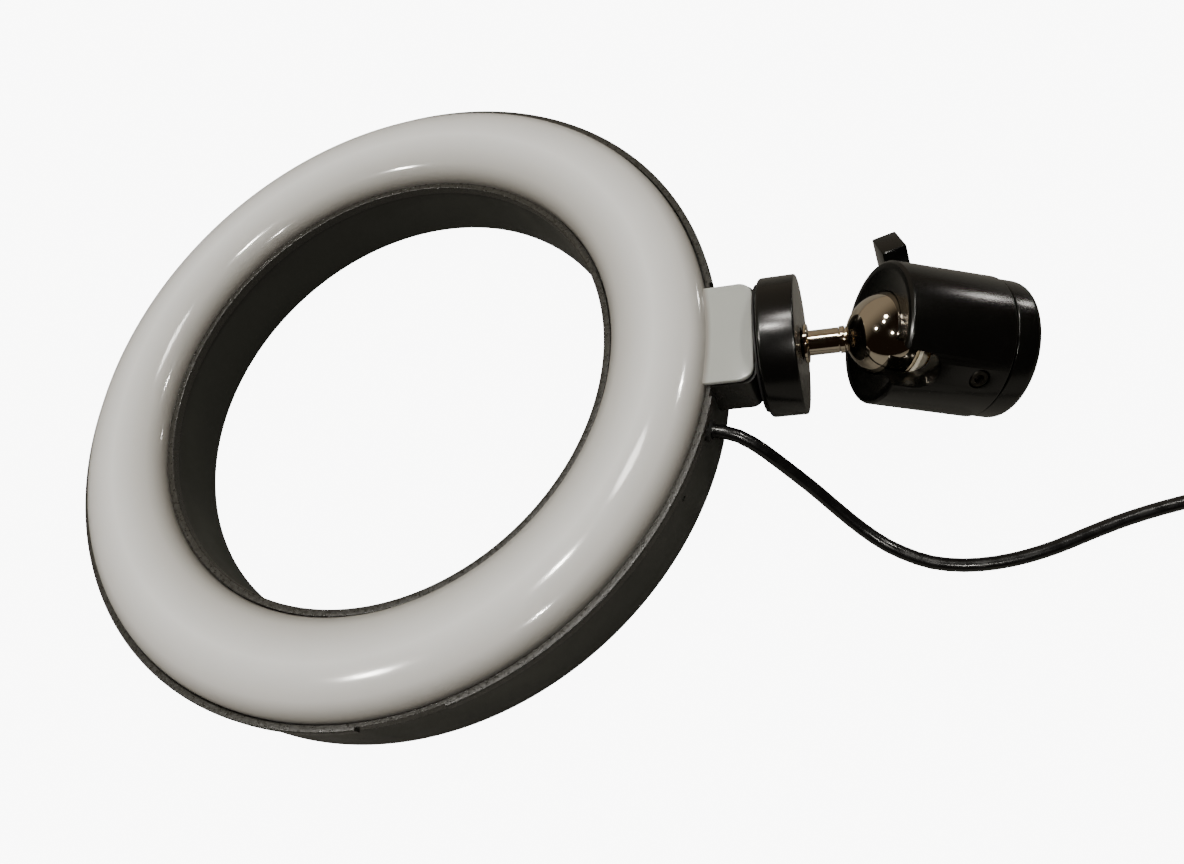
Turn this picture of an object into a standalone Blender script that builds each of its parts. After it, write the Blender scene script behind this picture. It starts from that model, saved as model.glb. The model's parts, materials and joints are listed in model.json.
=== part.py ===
"""Ring light on a mini ball head, with its cable, inline control and USB plug.

The ring's own frame has its origin at the centre of the flat back, +Z out through the diffuser and
+X towards the ball head. The whole assembly lies tilted on a table at z = 0, resting on the far edge
of the ring's back and on the lower edge of the ball head's base. Sizes are in millimetres here and
are turned to metres by MM.
"""

import math

import bmesh
import bpy
from mathutils import Matrix, Vector

MM = 0.001
GAP = 0.3

# Ring housing and diffuser
RING_R = 80.0
WALL_R = 79.3
BORE_R = 55.8
RIM_BORE_R = 54.9
DIFFUSER_OUTER_R = 78.15
DIFFUSER_INNER_R = 56.8
RIM_HEIGHT = 18.1
RIM_DEPTH = 2.1
LEDGE_Z = 15.8
FLOOR_THICK = 1.6
WALL_THICK = 1.9
BULGE_HEIGHT = 5.5
DIFFUSER_THICK = 1.6
RING_SIDES = 48
WINDOW_AZIMUTHS = (-84.0, -70.0)
MOUNT_AZIMUTHS = (-10.0, 10.0)
PINHOLE_AZIMUTH = -25.0
PINHOLE_Z = 12.6

# Mounting block, its insert and the diffuser's tab
BLOCK_HALF_WIDTH = 11.85
BLOCK_END_X = 87.8
BLOCK_BOTTOM_Z = 5.8
TAB_HALF_WIDTH = 11.6
TAB_END_X = 87.4
TAB_THICK = 1.2
STEM_Z = 11.3
INSERT_R = 4.3
STUD_R = 3.15

# Lock disc, stem and ball, as places along the stem's axis from the ring's centre
WASHER_X = 88.05
WASHER_THICK = 0.5
DISC_X = 88.8
DISC_THICK = 7.6
DISC_R = 14.7
FLANGE_X = 96.9
FLANGE_R = 4.15
STEM_R = 2.65
NECK_X = 103.9
NECK_LENGTH = 1.4
BALL_X = 113.8
BALL_R = 8.65

# Ball head, as places along its axis from the ball's centre towards the base
HEAD_DROOP_DEG = 30.3
HEAD_SIDE_DEG = 1.9
HEAD_R = 14.65
HEAD_BORE_R = 8.95
SEAT_R = 8.85
RIM_S = -2.8
GROOVE_S = 19.4
BASE_S = 19.8
BASE_END_S = 25.3
BASE_R = 14.3
CAP_BORE_R = 12.2
CAP_BORE_S = 16.1
NOTCH_MERIDIAN_DEG = 29.5
NOTCH_HALF_WIDTH = 4.0
NOTCH_DEPTH_S = 5.4
CLAMP_S = 9.8
GRUB_S = 13.8
SOCKET_R = 3.2

# Clamp lever, measured out from the head's axis along the clamp screw
LEVER_NEAR = 15.1
LEVER_THICK = 7.4
LEVER_WIDTH = 5.2
LEVER_LENGTH = 14.7
LEVER_TURN_DEG = -122.3
HUB_R = 4.7

# Internal board
BOARD_Z = 4.0
BOARD_THICK = 1.2
BOARD_RADII = (59.2, 75.8)
LED_COUNT = 36
LED_SIZE = (3.5, 2.8, 0.9)
BOARD_SCREW_AZIMUTHS = (40.0, 130.0, 220.0, 310.0)

# Cable, coil, inline control and plug, in table coordinates
CABLE_R = 1.4
EXIT_AZIMUTH = -14.0
EXIT_Z = 13.4
COIL_CENTRE = (168.0, -2.0)
COIL_MEAN_R = 16.3
COIL_HALF_WIDTH = 5.6
COIL_LOW = 0.9
COIL_HIGH = 9.3
TIE_WIDTH = 4.0
TIE_THICK = 0.5
CONTROL_X = 175.5
CONTROL_Y = (40.0, 92.0)
CONTROL_HALF_WIDTH = 9.0
CONTROL_HEIGHT = 10.0
CONTROL_AXIS_Z = 5.2
RELIEF_LENGTH = 10.0
PLUG_X = 198.0
PLUG_AXIS_Z = 4.1
PLUG_START_Y = -28.0
BUTTON_TRAVEL = 0.4

LEAD_ROUTE = (
    (37.4, -17.0, 23.0),
    (42.2, -18.3, 23.3),
    (47.1, -19.5, 23.6),
    (51.2, -20.6, 23.5),
    (55.1, -22.3, 21.7),
    (58.7, -24.2, 18.6),
    (62.4, -26.2, 14.9),
    (66.1, -28.3, 11.2),
    (69.8, -30.8, 7.7),
    (73.6, -33.5, 4.8),
    (77.4, -36.1, 2.8),
    (81.4, -38.5, 1.8),
    (87.4, -41.1, 1.5),
    (93.5, -42.1, 1.5),
    (99.5, -41.9, 1.5),
    (105.6, -40.8, 1.5),
    (111.8, -38.9, 1.5),
    (118.0, -36.4, 1.5),
    (124.2, -34.0, 1.5),
    (130.2, -32.1, 1.5),
    (135.6, -30.7, 1.5),
    (140.9, -29.4, 1.5),
    (147.7, -27.8, 1.7),
    (154.5, -26.2, 2.0),
    (161.3, -24.6, 2.4),
)
LINK_ROUTE = (
    (179.9, 18.4, 6.8),
    (178.0, 21.8, 5.9),
    (176.3, 25.4, 5.3),
    (175.5, 28.3, 5.2),
    (175.5, 29.7, 5.2),
)
TAIL_ROUTE = (
    (175.5, 102.3, 5.2),
    (175.5, 105.0, 5.1),
    (177.0, 110.1, 4.4),
    (181.1, 114.2, 3.2),
    (186.7, 115.8, 2.1),
    (192.4, 114.2, 1.6),
    (196.5, 110.1, 1.5),
    (198.0, 104.5, 1.5),
    (198.3, 96.0, 1.5),
    (197.8, 84.0, 1.5),
    (197.0, 70.0, 1.5),
    (196.7, 56.0, 1.5),
    (196.9, 42.0, 1.5),
    (197.4, 28.0, 1.5),
    (197.8, 14.0, 1.5),
    (198.0, 2.0, 1.6),
    (198.0, -8.0, 2.2),
    (198.0, -16.0, 3.1),
    (198.0, -24.0, 4.0),
    (198.0, -28.3, 4.1),
)

OPAL = ("opal_acrylic", (0.72, 0.72, 0.70), 0.25, 0.0)
HOUSING_ABS = ("housing_abs", (0.028, 0.029, 0.024), 0.5, 0.0)
BUTTON_NAMES = ("button_power", "button_colour", "button_brighter", "button_dimmer")
BUTTON_SPOTS = (-13.5, -4.5, 4.5, 13.5)
COVER_THICK = 1.3

BOARD_WHITE = ("board_white", (0.75, 0.75, 0.72), 0.45, 0.0)
STEEL = ("zinc_steel", (0.55, 0.55, 0.56), 0.35, 1.0)
BRASS = ("brass", (0.62, 0.47, 0.22), 0.35, 1.0)
NICKEL = ("nickel_plate", (0.62, 0.58, 0.52), 0.12, 1.0)
BLACK_METAL = ("black_anodised", (0.012, 0.012, 0.012), 0.3, 1.0)
BLACK_PLASTIC = ("black_plastic", (0.015, 0.015, 0.015), 0.5, 0.0)
RUBBER = ("black_rubber", (0.02, 0.02, 0.02), 0.7, 0.0)
NYLON = ("nylon", (0.7, 0.68, 0.6), 0.5, 0.0)
CABLE_PVC = ("cable_pvc", (0.012, 0.012, 0.012), 0.35, 0.0)
BUTTON_RUBBER = ("button_rubber", (0.25, 0.25, 0.25), 0.6, 0.0)


def clear_scene():
    """Remove the objects the scene starts with."""
    for item in list(bpy.data.objects):
        bpy.data.objects.remove(item, do_unlink=True)


def finish_material(finish):
    """Return the Principled material for a (name, colour, roughness, metallic) finish."""
    name, colour, roughness, metallic = finish
    found = bpy.data.materials.get(name)
    if found:
        return found
    made = bpy.data.materials.new(name)
    made.use_nodes = True
    shader = made.node_tree.nodes["Principled BSDF"]
    shader.inputs["Base Color"].default_value = (*colour, 1.0)
    shader.inputs["Roughness"].default_value = roughness
    shader.inputs["Metallic"].default_value = metallic
    return made


def add_object(name, shape, parent=None, finish=None):
    """Put a mesh or curve in the scene under a parent, with one finish."""
    made = bpy.data.objects.new(name, shape)
    bpy.context.scene.collection.objects.link(made)
    made.parent = parent
    if finish:
        shape.materials.append(finish_material(finish))
    return made


def add_empty(name, place, parent=None):
    """Add an axis empty at a place given as a 4 by 4 matrix."""
    made = bpy.data.objects.new(name, None)
    bpy.context.scene.collection.objects.link(made)
    made.parent = parent
    made.matrix_local = place
    made.empty_display_size = 0.01
    return made


def axes_matrix(origin, along_x, along_z):
    """Return the matrix whose X and Z axes lie along two directions, with its origin in millimetres."""
    z = Vector(along_z).normalized()
    x = Vector(along_x)
    x = (x - z * x.dot(z)).normalized()
    y = z.cross(x)
    turn = Matrix((x, y, z)).transposed().to_4x4()
    return Matrix.Translation(Vector(origin) * MM) @ turn


def mesh_from(name, work, smooth_deg=35.0):
    """Turn a bmesh into a mesh with outward faces, smooth except at edges sharper than an angle."""
    bmesh.ops.recalc_face_normals(work, faces=work.faces)
    shape = bpy.data.meshes.new(name)
    work.to_mesh(shape)
    work.free()
    shape.shade_smooth()
    shape.set_sharp_from_angle(angle=math.radians(smooth_deg))
    return shape


def turned_mesh(name, profile, sides):
    """Return the solid turned about +Z from a closed outline of (radius, height) points."""
    work = bmesh.new()
    corners = [work.verts.new((r * MM, 0.0, z * MM)) for r, z in profile]
    loop = [work.edges.new((a, b)) for a, b in zip(corners, corners[1:] + corners[:1])]
    loop = [edge for edge in loop if max(abs(v.co.x) for v in edge.verts) > 1e-9]
    bmesh.ops.spin(
        work, geom=corners + loop, axis=(0, 0, 1), cent=(0, 0, 0),
        steps=sides, angle=2 * math.pi, use_merge=True,
    )
    bmesh.ops.remove_doubles(work, verts=work.verts, dist=1e-7)
    loose = [edge for edge in work.edges if not edge.link_faces]
    bmesh.ops.delete(work, geom=loose, context="EDGES")
    return mesh_from(name, work)


def arc(centre, radius, start_deg, end_deg, steps):
    """Return points on a circular arc of (radius, height) pairs, both ends included."""
    cx, cy = centre
    turns = [math.radians(start_deg + (end_deg - start_deg) * i / steps) for i in range(steps + 1)]
    return [(cx + radius * math.cos(a), cy + radius * math.sin(a)) for a in turns]


def slab_mesh(name, outline, low, high):
    """Return an outline of (x, y) points extruded between two heights."""
    work = bmesh.new()
    bottom = [work.verts.new((x * MM, y * MM, low * MM)) for x, y in outline]
    face = work.faces.new(bottom)
    grown = bmesh.ops.extrude_face_region(work, geom=[face])["geom"]
    lifted = [v for v in grown if isinstance(v, bmesh.types.BMVert)]
    bmesh.ops.translate(work, verts=lifted, vec=(0, 0, (high - low) * MM))
    return mesh_from(name, work)


def box_mesh(name, low, high, rounding=0.0, axes="xyz"):
    """Return a box between two corners, with the edges along the named axes rounded."""
    work = bmesh.new()
    size = [h - l for l, h in zip(low, high)]
    centre = [(h + l) / 2 for l, h in zip(low, high)]
    place = Matrix.Translation(Vector(centre) * MM) @ Matrix.Diagonal([s * MM for s in size] + [1.0])
    bmesh.ops.create_cube(work, size=1.0, matrix=place)
    if rounding:
        picked = []
        for edge in work.edges:
            run = edge.verts[1].co - edge.verts[0].co
            longest = max(range(3), key=lambda i: abs(run[i]))
            if "xyz"[longest] in axes:
                picked.append(edge)
        bmesh.ops.bevel(
            work, geom=picked, offset=rounding * MM, segments=2, profile=0.5,
            affect="EDGES", clamp_overlap=True,
        )
    return mesh_from(name, work)


def rounded_rectangle(half_x, half_y, radius, steps=3):
    """Return the outline of a rectangle with round corners, anticlockwise."""
    outline = []
    for quarter, (sx, sy) in enumerate(((1, 1), (-1, 1), (-1, -1), (1, -1))):
        centre = (sx * (half_x - radius), sy * (half_y - radius))
        outline += arc(centre, radius, 90 * quarter, 90 * quarter + 90, steps)
    return outline


def boolean(target, tool, operation="DIFFERENCE"):
    """Cut or join a hidden tool object into a target, with the exact solver."""
    tool.hide_render = True
    tool.display_type = "WIRE"
    step = target.modifiers.new(operation.lower() + "_" + tool.name, "BOOLEAN")
    step.operation = operation
    step.solver = "EXACT"
    step.object = tool


def rod_tool(name, radius, low, high, parent, place, sides=20):
    """Add a plain round bar, used as a cutter, along the Z axis of a local place."""
    outline = [(0.0, low), (radius, low), (radius, high), (0.0, high)]
    tool = add_object(name, turned_mesh(name, outline, sides), parent)
    tool.matrix_local = place
    return tool


def ring_point(radius, azimuth_deg, height):
    """Return a point of the ring's frame from its radius, azimuth and height."""
    turn = math.radians(azimuth_deg)
    return (radius * math.cos(turn), radius * math.sin(turn), height)


def base_outline():
    """Return the outer outline of the ball head's base cap, as (radius, place along the axis)."""
    edge = 1.7
    shoulder = arc((BASE_R - edge, BASE_END_S - edge), edge, 0, 90, 4)
    return [(BASE_R - 0.3, BASE_S), (BASE_R, BASE_S + 0.3)] + shoulder


def head_axis():
    """Return the direction of the ball head's axis, from the ball to the base, in the ring's frame."""
    droop = math.radians(HEAD_DROOP_DEG)
    side = math.radians(HEAD_SIDE_DEG)
    level = math.cos(droop)
    return Vector((level * math.cos(side), level * math.sin(side), -math.sin(droop)))


def head_frame():
    """Return the ball head's place: origin at the ball's centre, +Z to the base, +X to the notch."""
    axis = head_axis()
    across = axis.cross(Vector((0.0, 0.0, 1.0))).normalized()
    above = across.cross(axis)
    turn = math.radians(NOTCH_MERIDIAN_DEG)
    notch = above * math.sin(turn) + across * math.cos(turn)
    return axes_matrix((BALL_X, 0.0, STEM_Z), notch, axis)


def head_rim_points():
    """Return points all round the base cap's outer outline, in the ring's frame."""
    place = head_frame()
    turns = [math.radians(5 * i) for i in range(72)]
    points = []
    for radius, along in base_outline():
        for turn in turns:
            local = Vector((radius * math.cos(turn), radius * math.sin(turn), along)) * MM
            points.append(place @ local / MM)
    return points


def resting_tilt():
    """Return the angle between the ring's back and the table when both lowest edges touch it."""
    return max(math.atan2(-point.z, point.x + WALL_R) for point in head_rim_points())


def assembly_place():
    """Return the ring frame's place on the table, with the origin under the middle of the object."""
    tilt = resting_tilt()
    turn = Matrix.Rotation(-tilt, 4, "Y")
    far = max((turn @ point).x for point in head_rim_points())
    near = (turn @ Vector((-RING_R, 0.0, RIM_HEIGHT))).x
    lift = WALL_R * math.sin(tilt)
    return Matrix.Translation(Vector((-(far + near) / 2, 0.0, lift)) * MM) @ turn


def make_back_shell(ring):
    """Make the housing channel with its rim and the mounting block, moulded in one."""
    inner_wall = BORE_R + WALL_THICK
    rim_low = RIM_HEIGHT - RIM_DEPTH
    profile = [
        (WALL_R - 0.6, 0.0), (WALL_R, 0.6), (WALL_R, rim_low), (RING_R, rim_low),
        (RING_R, RIM_HEIGHT - 0.3), (RING_R - 0.3, RIM_HEIGHT),
        (DIFFUSER_OUTER_R + GAP, RIM_HEIGHT), (DIFFUSER_OUTER_R + GAP, LEDGE_Z),
        (WALL_R - WALL_THICK, LEDGE_Z), (WALL_R - WALL_THICK, FLOOR_THICK),
        (inner_wall, FLOOR_THICK), (inner_wall, LEDGE_Z),
        (DIFFUSER_INNER_R - GAP, LEDGE_Z), (DIFFUSER_INNER_R - GAP, RIM_HEIGHT),
        (RIM_BORE_R + 0.3, RIM_HEIGHT), (RIM_BORE_R, RIM_HEIGHT - 0.3),
        (RIM_BORE_R, rim_low), (BORE_R, rim_low), (BORE_R, 0.6), (BORE_R + 0.6, 0.0),
    ]
    shell = add_object("back_shell", turned_mesh("back_shell", profile, RING_SIDES), ring, HOUSING_ABS)
    boolean(shell, rim_tool("window_tool", WINDOW_AZIMUTHS, ring))
    boolean(shell, rim_tool("mount_tool", MOUNT_AZIMUTHS, ring))
    boolean(shell, make_block_tool(ring), "UNION")
    bore = rod_tool(
        "insert_bore", INSERT_R + GAP, 79.9, BLOCK_END_X + 2.0, ring,
        axes_matrix((0.0, 0.0, STEM_Z), (0, 0, 1), (1, 0, 0)),
    )
    boolean(shell, bore)
    for name, azimuth, height, radius in (
        ("cable_bore", EXIT_AZIMUTH, EXIT_Z, 2.25),
        ("pinhole", PINHOLE_AZIMUTH, PINHOLE_Z, 0.6),
    ):
        outward = ring_point(1.0, azimuth, 0.0)
        tool = rod_tool(name, radius, 75.0, 85.0, ring, axes_matrix((0, 0, height), (0, 0, 1), outward), 12)
        boolean(shell, tool)
    for index, azimuth in enumerate(BOARD_SCREW_AZIMUTHS, 1):
        section = tube_outline(1.45, 3.0, FLOOR_THICK - 0.4, BOARD_Z - GAP)
        boss = turned_mesh(f"boss_tool_{index}", section, 12)
        tool = add_object(f"boss_tool_{index}", boss, ring)
        tool.matrix_local = Matrix.Translation(Vector(ring_point(67.5, azimuth, 0.0)) * MM)
        boolean(shell, tool, "UNION")
    return shell


def tube_outline(inner, outer, low, high):
    """Return the outline of a plain tube."""
    return [(outer, low), (outer, high), (inner, high), (inner, low)]


def make_block_tool(ring):
    """Make the mounting block, hollowed where the diffuser's skirt passes its inner end."""
    low = (WALL_R - 1.6, -BLOCK_HALF_WIDTH, BLOCK_BOTTOM_Z)
    high = (BLOCK_END_X, BLOCK_HALF_WIDTH, RIM_HEIGHT)
    block = add_object("block_tool", box_mesh("block_tool", low, high, 2.5, "zx"), ring)
    recess_r = DIFFUSER_OUTER_R + GAP + 0.2
    place = Matrix.Identity(4)
    boolean(block, rod_tool("skirt_recess", recess_r, LEDGE_Z, RIM_HEIGHT + 1.0, ring, place, RING_SIDES))
    return block


def rim_tool(name, azimuths, ring):
    """Make the cutter that removes the rim's overhang between two azimuths."""
    start, end = azimuths
    steps = 5
    turns = [start + (end - start) * i / steps for i in range(steps + 1)]
    outer = [ring_point(RING_R + 1.5, a, 0.0)[:2] for a in turns]
    inner = [ring_point(WALL_R + 0.05, a, 0.0)[:2] for a in reversed(turns)]
    low = RIM_HEIGHT - RIM_DEPTH - 0.8
    return add_object(name, slab_mesh(name, outer + inner, low, RIM_HEIGHT + 1.0), ring)


def make_diffuser(ring):
    """Make the bulging opal cover with its skirts and the flat tab over the mounting block."""
    middle = (DIFFUSER_OUTER_R + DIFFUSER_INNER_R) / 2
    half = (DIFFUSER_OUTER_R - DIFFUSER_INNER_R) / 2
    low = LEDGE_Z + GAP
    outer = bulge_outline(middle, half, BULGE_HEIGHT, 8)
    inner = bulge_outline(middle, half - DIFFUSER_THICK, BULGE_HEIGHT - DIFFUSER_THICK, 4)
    outline = [(DIFFUSER_OUTER_R, low)] + outer + [(DIFFUSER_INNER_R, low)]
    outline += [(DIFFUSER_INNER_R + DIFFUSER_THICK, low)] + inner[::-1]
    outline += [(DIFFUSER_OUTER_R - DIFFUSER_THICK, low)]
    cover = add_object("diffuser", turned_mesh("diffuser", outline, RING_SIDES), ring, OPAL)
    tab_low = (middle + half - 1.2, -TAB_HALF_WIDTH, RIM_HEIGHT + GAP)
    tab_high = (TAB_END_X, TAB_HALF_WIDTH, RIM_HEIGHT + GAP + TAB_THICK)
    tab = add_object("tab_tool", tab_mesh(tab_low, tab_high), ring)
    boolean(cover, tab, "UNION")
    return cover


def bulge_outline(middle, half, height, steps):
    """Return the diffuser's half-oval section, from its outer edge over the top to its inner edge."""
    turns = [math.pi * i / steps for i in range(steps + 1)]
    return [(middle + half * math.cos(a), RIM_HEIGHT + height * math.sin(a)) for a in turns]


def tab_mesh(low, high):
    """Return the tab: straight edges inside the ring, round corners at its free end."""
    corner = 3.0
    inside = low[0]
    outline = [(inside, low[1])]
    outline += arc((high[0] - corner, low[1] + corner), corner, -90, 0, 4)
    outline += arc((high[0] - corner, high[1] - corner), corner, 0, 90, 4)
    outline += [(inside, high[1])]
    return slab_mesh("tab_tool", outline, low[2], high[2])


def make_led_board(ring):
    """Make the ring-shaped board with its row of light-emitting diodes and its screw holes."""
    inner, outer = BOARD_RADII
    plate = turned_mesh("led_board", tube_outline(inner, outer, BOARD_Z, BOARD_Z + BOARD_THICK), RING_SIDES)
    board = add_object("led_board", plate, ring, BOARD_WHITE)
    for index, azimuth in enumerate(BOARD_SCREW_AZIMUTHS, 1):
        place = Matrix.Translation(Vector(ring_point(67.5, azimuth, 0.0)) * MM)
        boolean(board, rod_tool(f"board_hole_{index}", 1.6, 2.0, 8.0, ring, place, 12))
    work = bmesh.new()
    length, width, height = LED_SIZE
    for index in range(LED_COUNT):
        azimuth = 360.0 * (index + 0.5) / LED_COUNT
        middle_z = BOARD_Z + BOARD_THICK + height / 2 - 0.2
        spot = Vector(ring_point(72.0 if index % 2 else 64.0, azimuth, middle_z))
        turn = Matrix.Rotation(math.radians(azimuth), 4, "Z")
        scale = Matrix.Diagonal((width * MM, length * MM, height * MM, 1.0))
        bmesh.ops.create_cube(work, size=1.0, matrix=Matrix.Translation(spot * MM) @ turn @ scale)
    lamps = add_object("led_tool", mesh_from("led_tool", work), ring)
    boolean(board, lamps, "UNION")
    return board


def make_board_screws(ring):
    """Make the four pan-head screws that hold the board to its bosses."""
    head = BOARD_Z + BOARD_THICK + GAP
    outline = [
        (0.0, 2.1), (1.1, 2.1), (1.1, head), (2.4, head), (2.4, head + 0.8), (1.7, head + 1.4),
        (0.0, head + 1.4),
    ]
    shape = turned_mesh("board_screw", outline, 10)
    shape.materials.append(finish_material(STEEL))
    for index, azimuth in enumerate(BOARD_SCREW_AZIMUTHS, 1):
        screw = add_object(f"board_screw_{index}", shape, ring)
        screw.matrix_local = Matrix.Translation(Vector(ring_point(67.5, azimuth, 0.0)) * MM)


def make_cable_grommet(ring):
    """Make the flanged bush that the cable passes through in the outer wall."""
    outside = WALL_R + GAP
    outline = [
        (1.95, WALL_R - 1.7), (1.95, outside), (2.3, outside), (2.3, outside + 0.5),
        (2.0, outside + 0.8), (1.68, outside + 0.8), (1.68, WALL_R - 1.7),
    ]
    bush = add_object("cable_grommet", turned_mesh("cable_grommet", outline, 14), ring, RUBBER)
    bush.matrix_local = axes_matrix((0, 0, EXIT_Z), (0, 0, 1), ring_point(1.0, EXIT_AZIMUTH, 0.0))


def make_mount_insert(stem):
    """Make the threaded brass insert inside the mounting block, open at both ends."""
    outline = tube_outline(STUD_R + GAP, INSERT_R, 80.2, BLOCK_END_X - 0.2)
    add_object("mount_insert", turned_mesh("mount_insert", outline, 20), stem, BRASS)


def make_ball_stem(stem):
    """Make the stud, flange, stem and ball, turned from one bar."""
    groove = 2.1
    cup = math.degrees(math.asin(STEM_R / BALL_R))
    outline = [
        (0.0, 80.6), (2.8, 80.6), (STUD_R, 80.95), (STUD_R, FLANGE_X), (FLANGE_R, FLANGE_X),
        (FLANGE_R, FLANGE_X + 0.5), (FLANGE_R - 0.3, FLANGE_X + 0.8), (STEM_R, FLANGE_X + 0.8),
        (STEM_R, NECK_X), (groove, NECK_X), (groove, NECK_X + NECK_LENGTH), (STEM_R, NECK_X + NECK_LENGTH),
    ]
    ball = []
    for i in range(12):
        turn = math.radians(cup + (180.0 - cup) * i / 11)
        ball.append((max(BALL_R * math.sin(turn), 0.0), BALL_X - BALL_R * math.cos(turn)))
    ball[-1] = (0.0, BALL_X + BALL_R)
    add_object("ball_stem", turned_mesh("ball_stem", outline + ball, 24), stem, NICKEL)


def make_lock_disc(stem):
    """Make the threaded lock disc and the thin washer between it and the block."""
    washer = tube_outline(STUD_R + GAP, DISC_R - 1.2, WASHER_X, WASHER_X + WASHER_THICK)
    add_object("disc_washer", turned_mesh("disc_washer", washer, 24), stem, RUBBER)
    far = DISC_X + DISC_THICK
    disc = [
        (STUD_R + GAP, DISC_X), (DISC_R - 0.8, DISC_X), (DISC_R - 0.25, DISC_X + 0.25),
        (DISC_R, DISC_X + 0.8), (DISC_R, far - 0.4), (DISC_R - 0.4, far), (STUD_R + GAP, far),
    ]
    add_object("lock_disc", turned_mesh("lock_disc", disc, 36), stem, BLACK_METAL)


def make_neck_ring(stem):
    """Make the loose wear ring in the groove at the ball's neck."""
    outline = tube_outline(2.3, STEM_R + 0.2, NECK_X + 0.15, NECK_X + NECK_LENGTH - 0.15)
    add_object("neck_ring", turned_mesh("neck_ring", outline, 18), stem, NICKEL)


def seat_arc(radius, start_s, end_s, steps):
    """Return points of a sphere about the ball's centre between two places along the axis."""
    start = math.asin(start_s / radius)
    end = math.asin(end_s / radius)
    turns = [start + (end - start) * i / steps for i in range(steps + 1)]
    return [(radius * math.cos(t), radius * math.sin(t)) for t in turns]


def make_head_housing(head):
    """Make the ball head's body: dished mouth, ball seat, bore, notch and the screw holes."""
    lip = seat_arc(SEAT_R, -2.0, -0.05, 3)
    outline = [
        (HEAD_R - 0.5, RIM_S), (13.0, RIM_S), (9.4, -2.0), *lip, (HEAD_BORE_R, 0.2),
        (HEAD_BORE_R, CAP_BORE_S), (CAP_BORE_R, CAP_BORE_S), (CAP_BORE_R, GROOVE_S),
        (HEAD_R - 0.3, GROOVE_S), (HEAD_R, GROOVE_S - 0.3), (HEAD_R, RIM_S + 0.5),
    ]
    body = add_object("head_housing", turned_mesh("head_housing", outline, 36), head, BLACK_METAL)
    bottom = NOTCH_DEPTH_S - NOTCH_HALF_WIDTH
    slot = [(RIM_S - 2.0, NOTCH_HALF_WIDTH), (RIM_S - 2.0, -NOTCH_HALF_WIDTH)]
    slot += arc((bottom, 0.0), NOTCH_HALF_WIDTH, -90, 90, 10)
    tool = add_object("notch_tool", slab_mesh("notch_tool", slot, 5.0, 20.0), head)
    tool.matrix_local = axes_matrix((0, 0, 0), (0, 0, 1), (1, 0, 0))
    boolean(body, tool)
    boolean(body, rod_tool("clamp_bore", 2.65, 6.0, 18.0, head, clamp_place(), 16))
    boolean(body, rod_tool("grub_bore", 2.1, 6.0, 18.0, head, grub_place(), 16))
    return body


def clamp_place():
    """Return the clamp screw's place in the head's frame: +Z outwards, away from the notch."""
    return axes_matrix((0, 0, CLAMP_S), (0, 0, 1), (-1, 0, 0))


def grub_place():
    """Return the grub screw's place in the head's frame: +Z outwards, on the notch's side."""
    return axes_matrix((0, 0, GRUB_S), (0, 0, 1), (1, 0, 0))


def make_friction_cup(head):
    """Make the nylon cup that the underside of the ball rests in."""
    inside = seat_arc(SEAT_R, 3.5, 8.2, 4)
    outside = seat_arc(SEAT_R + 0.8, 8.8, 3.9, 4)
    outline = inside + outside
    outline = [(min(r, HEAD_BORE_R - 0.2), s) for r, s in outline]
    add_object("friction_cup", turned_mesh("friction_cup", outline, 24), head, NYLON)


def make_pressure_block(head):
    """Make the brass block that presses the cup against the ball, with the clamp's pocket in its side."""
    radius = HEAD_BORE_R - 0.35
    bottom = CAP_BORE_S - 0.5
    seat = seat_arc(SEAT_R + 1.1, 9.85, 5.6, 4)
    outline = [(0.0, bottom), (0.0, SEAT_R + 1.1)] + [(min(r, radius), s) for r, s in seat[1:]]
    outline += [(radius, 6.2), (radius, bottom)]
    block = add_object("pressure_block", turned_mesh("pressure_block", outline, 24), head, BRASS)
    place = axes_matrix((0, 0, CLAMP_S + 0.9), (0, 0, 1), (-1, 0, 0))
    boolean(block, rod_tool("pusher_pocket", 2.75, 5.3, 12.0, head, place, 16))
    boolean(block, rod_tool("grub_pocket", 2.2, 7.5, 12.0, head, grub_place(), 16))
    return block


def make_base(head):
    """Make the screwed-in base cap and the brass tripod socket in it."""
    outer = base_outline()
    bore = 5.8
    inside = CAP_BORE_S + GAP
    cap = [(bore, inside), (CAP_BORE_R - GAP, inside), (CAP_BORE_R - GAP, BASE_S)]
    cap += outer + [(bore, BASE_END_S)]
    add_object("base_cap", turned_mesh("base_cap", cap, 36), head, BLACK_METAL)
    socket = tube_outline(SOCKET_R, bore - GAP, inside, BASE_END_S - 0.3)
    add_object("tripod_socket", turned_mesh("tripod_socket", socket, 24), head, BRASS)


def make_grub_screw(head):
    """Make the hex-socket grub screw that keeps the pressure block from turning."""
    outline = [
        (0.0, 7.8), (1.4, 7.8), (1.85, 8.25), (1.85, 14.3), (1.65, 14.5),
        (0.95, 14.5), (0.95, 13.0), (0.0, 13.0),
    ]
    screw = add_object("grub_screw", turned_mesh("grub_screw", outline, 12), head, STEEL)
    screw.matrix_local = grub_place()


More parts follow.
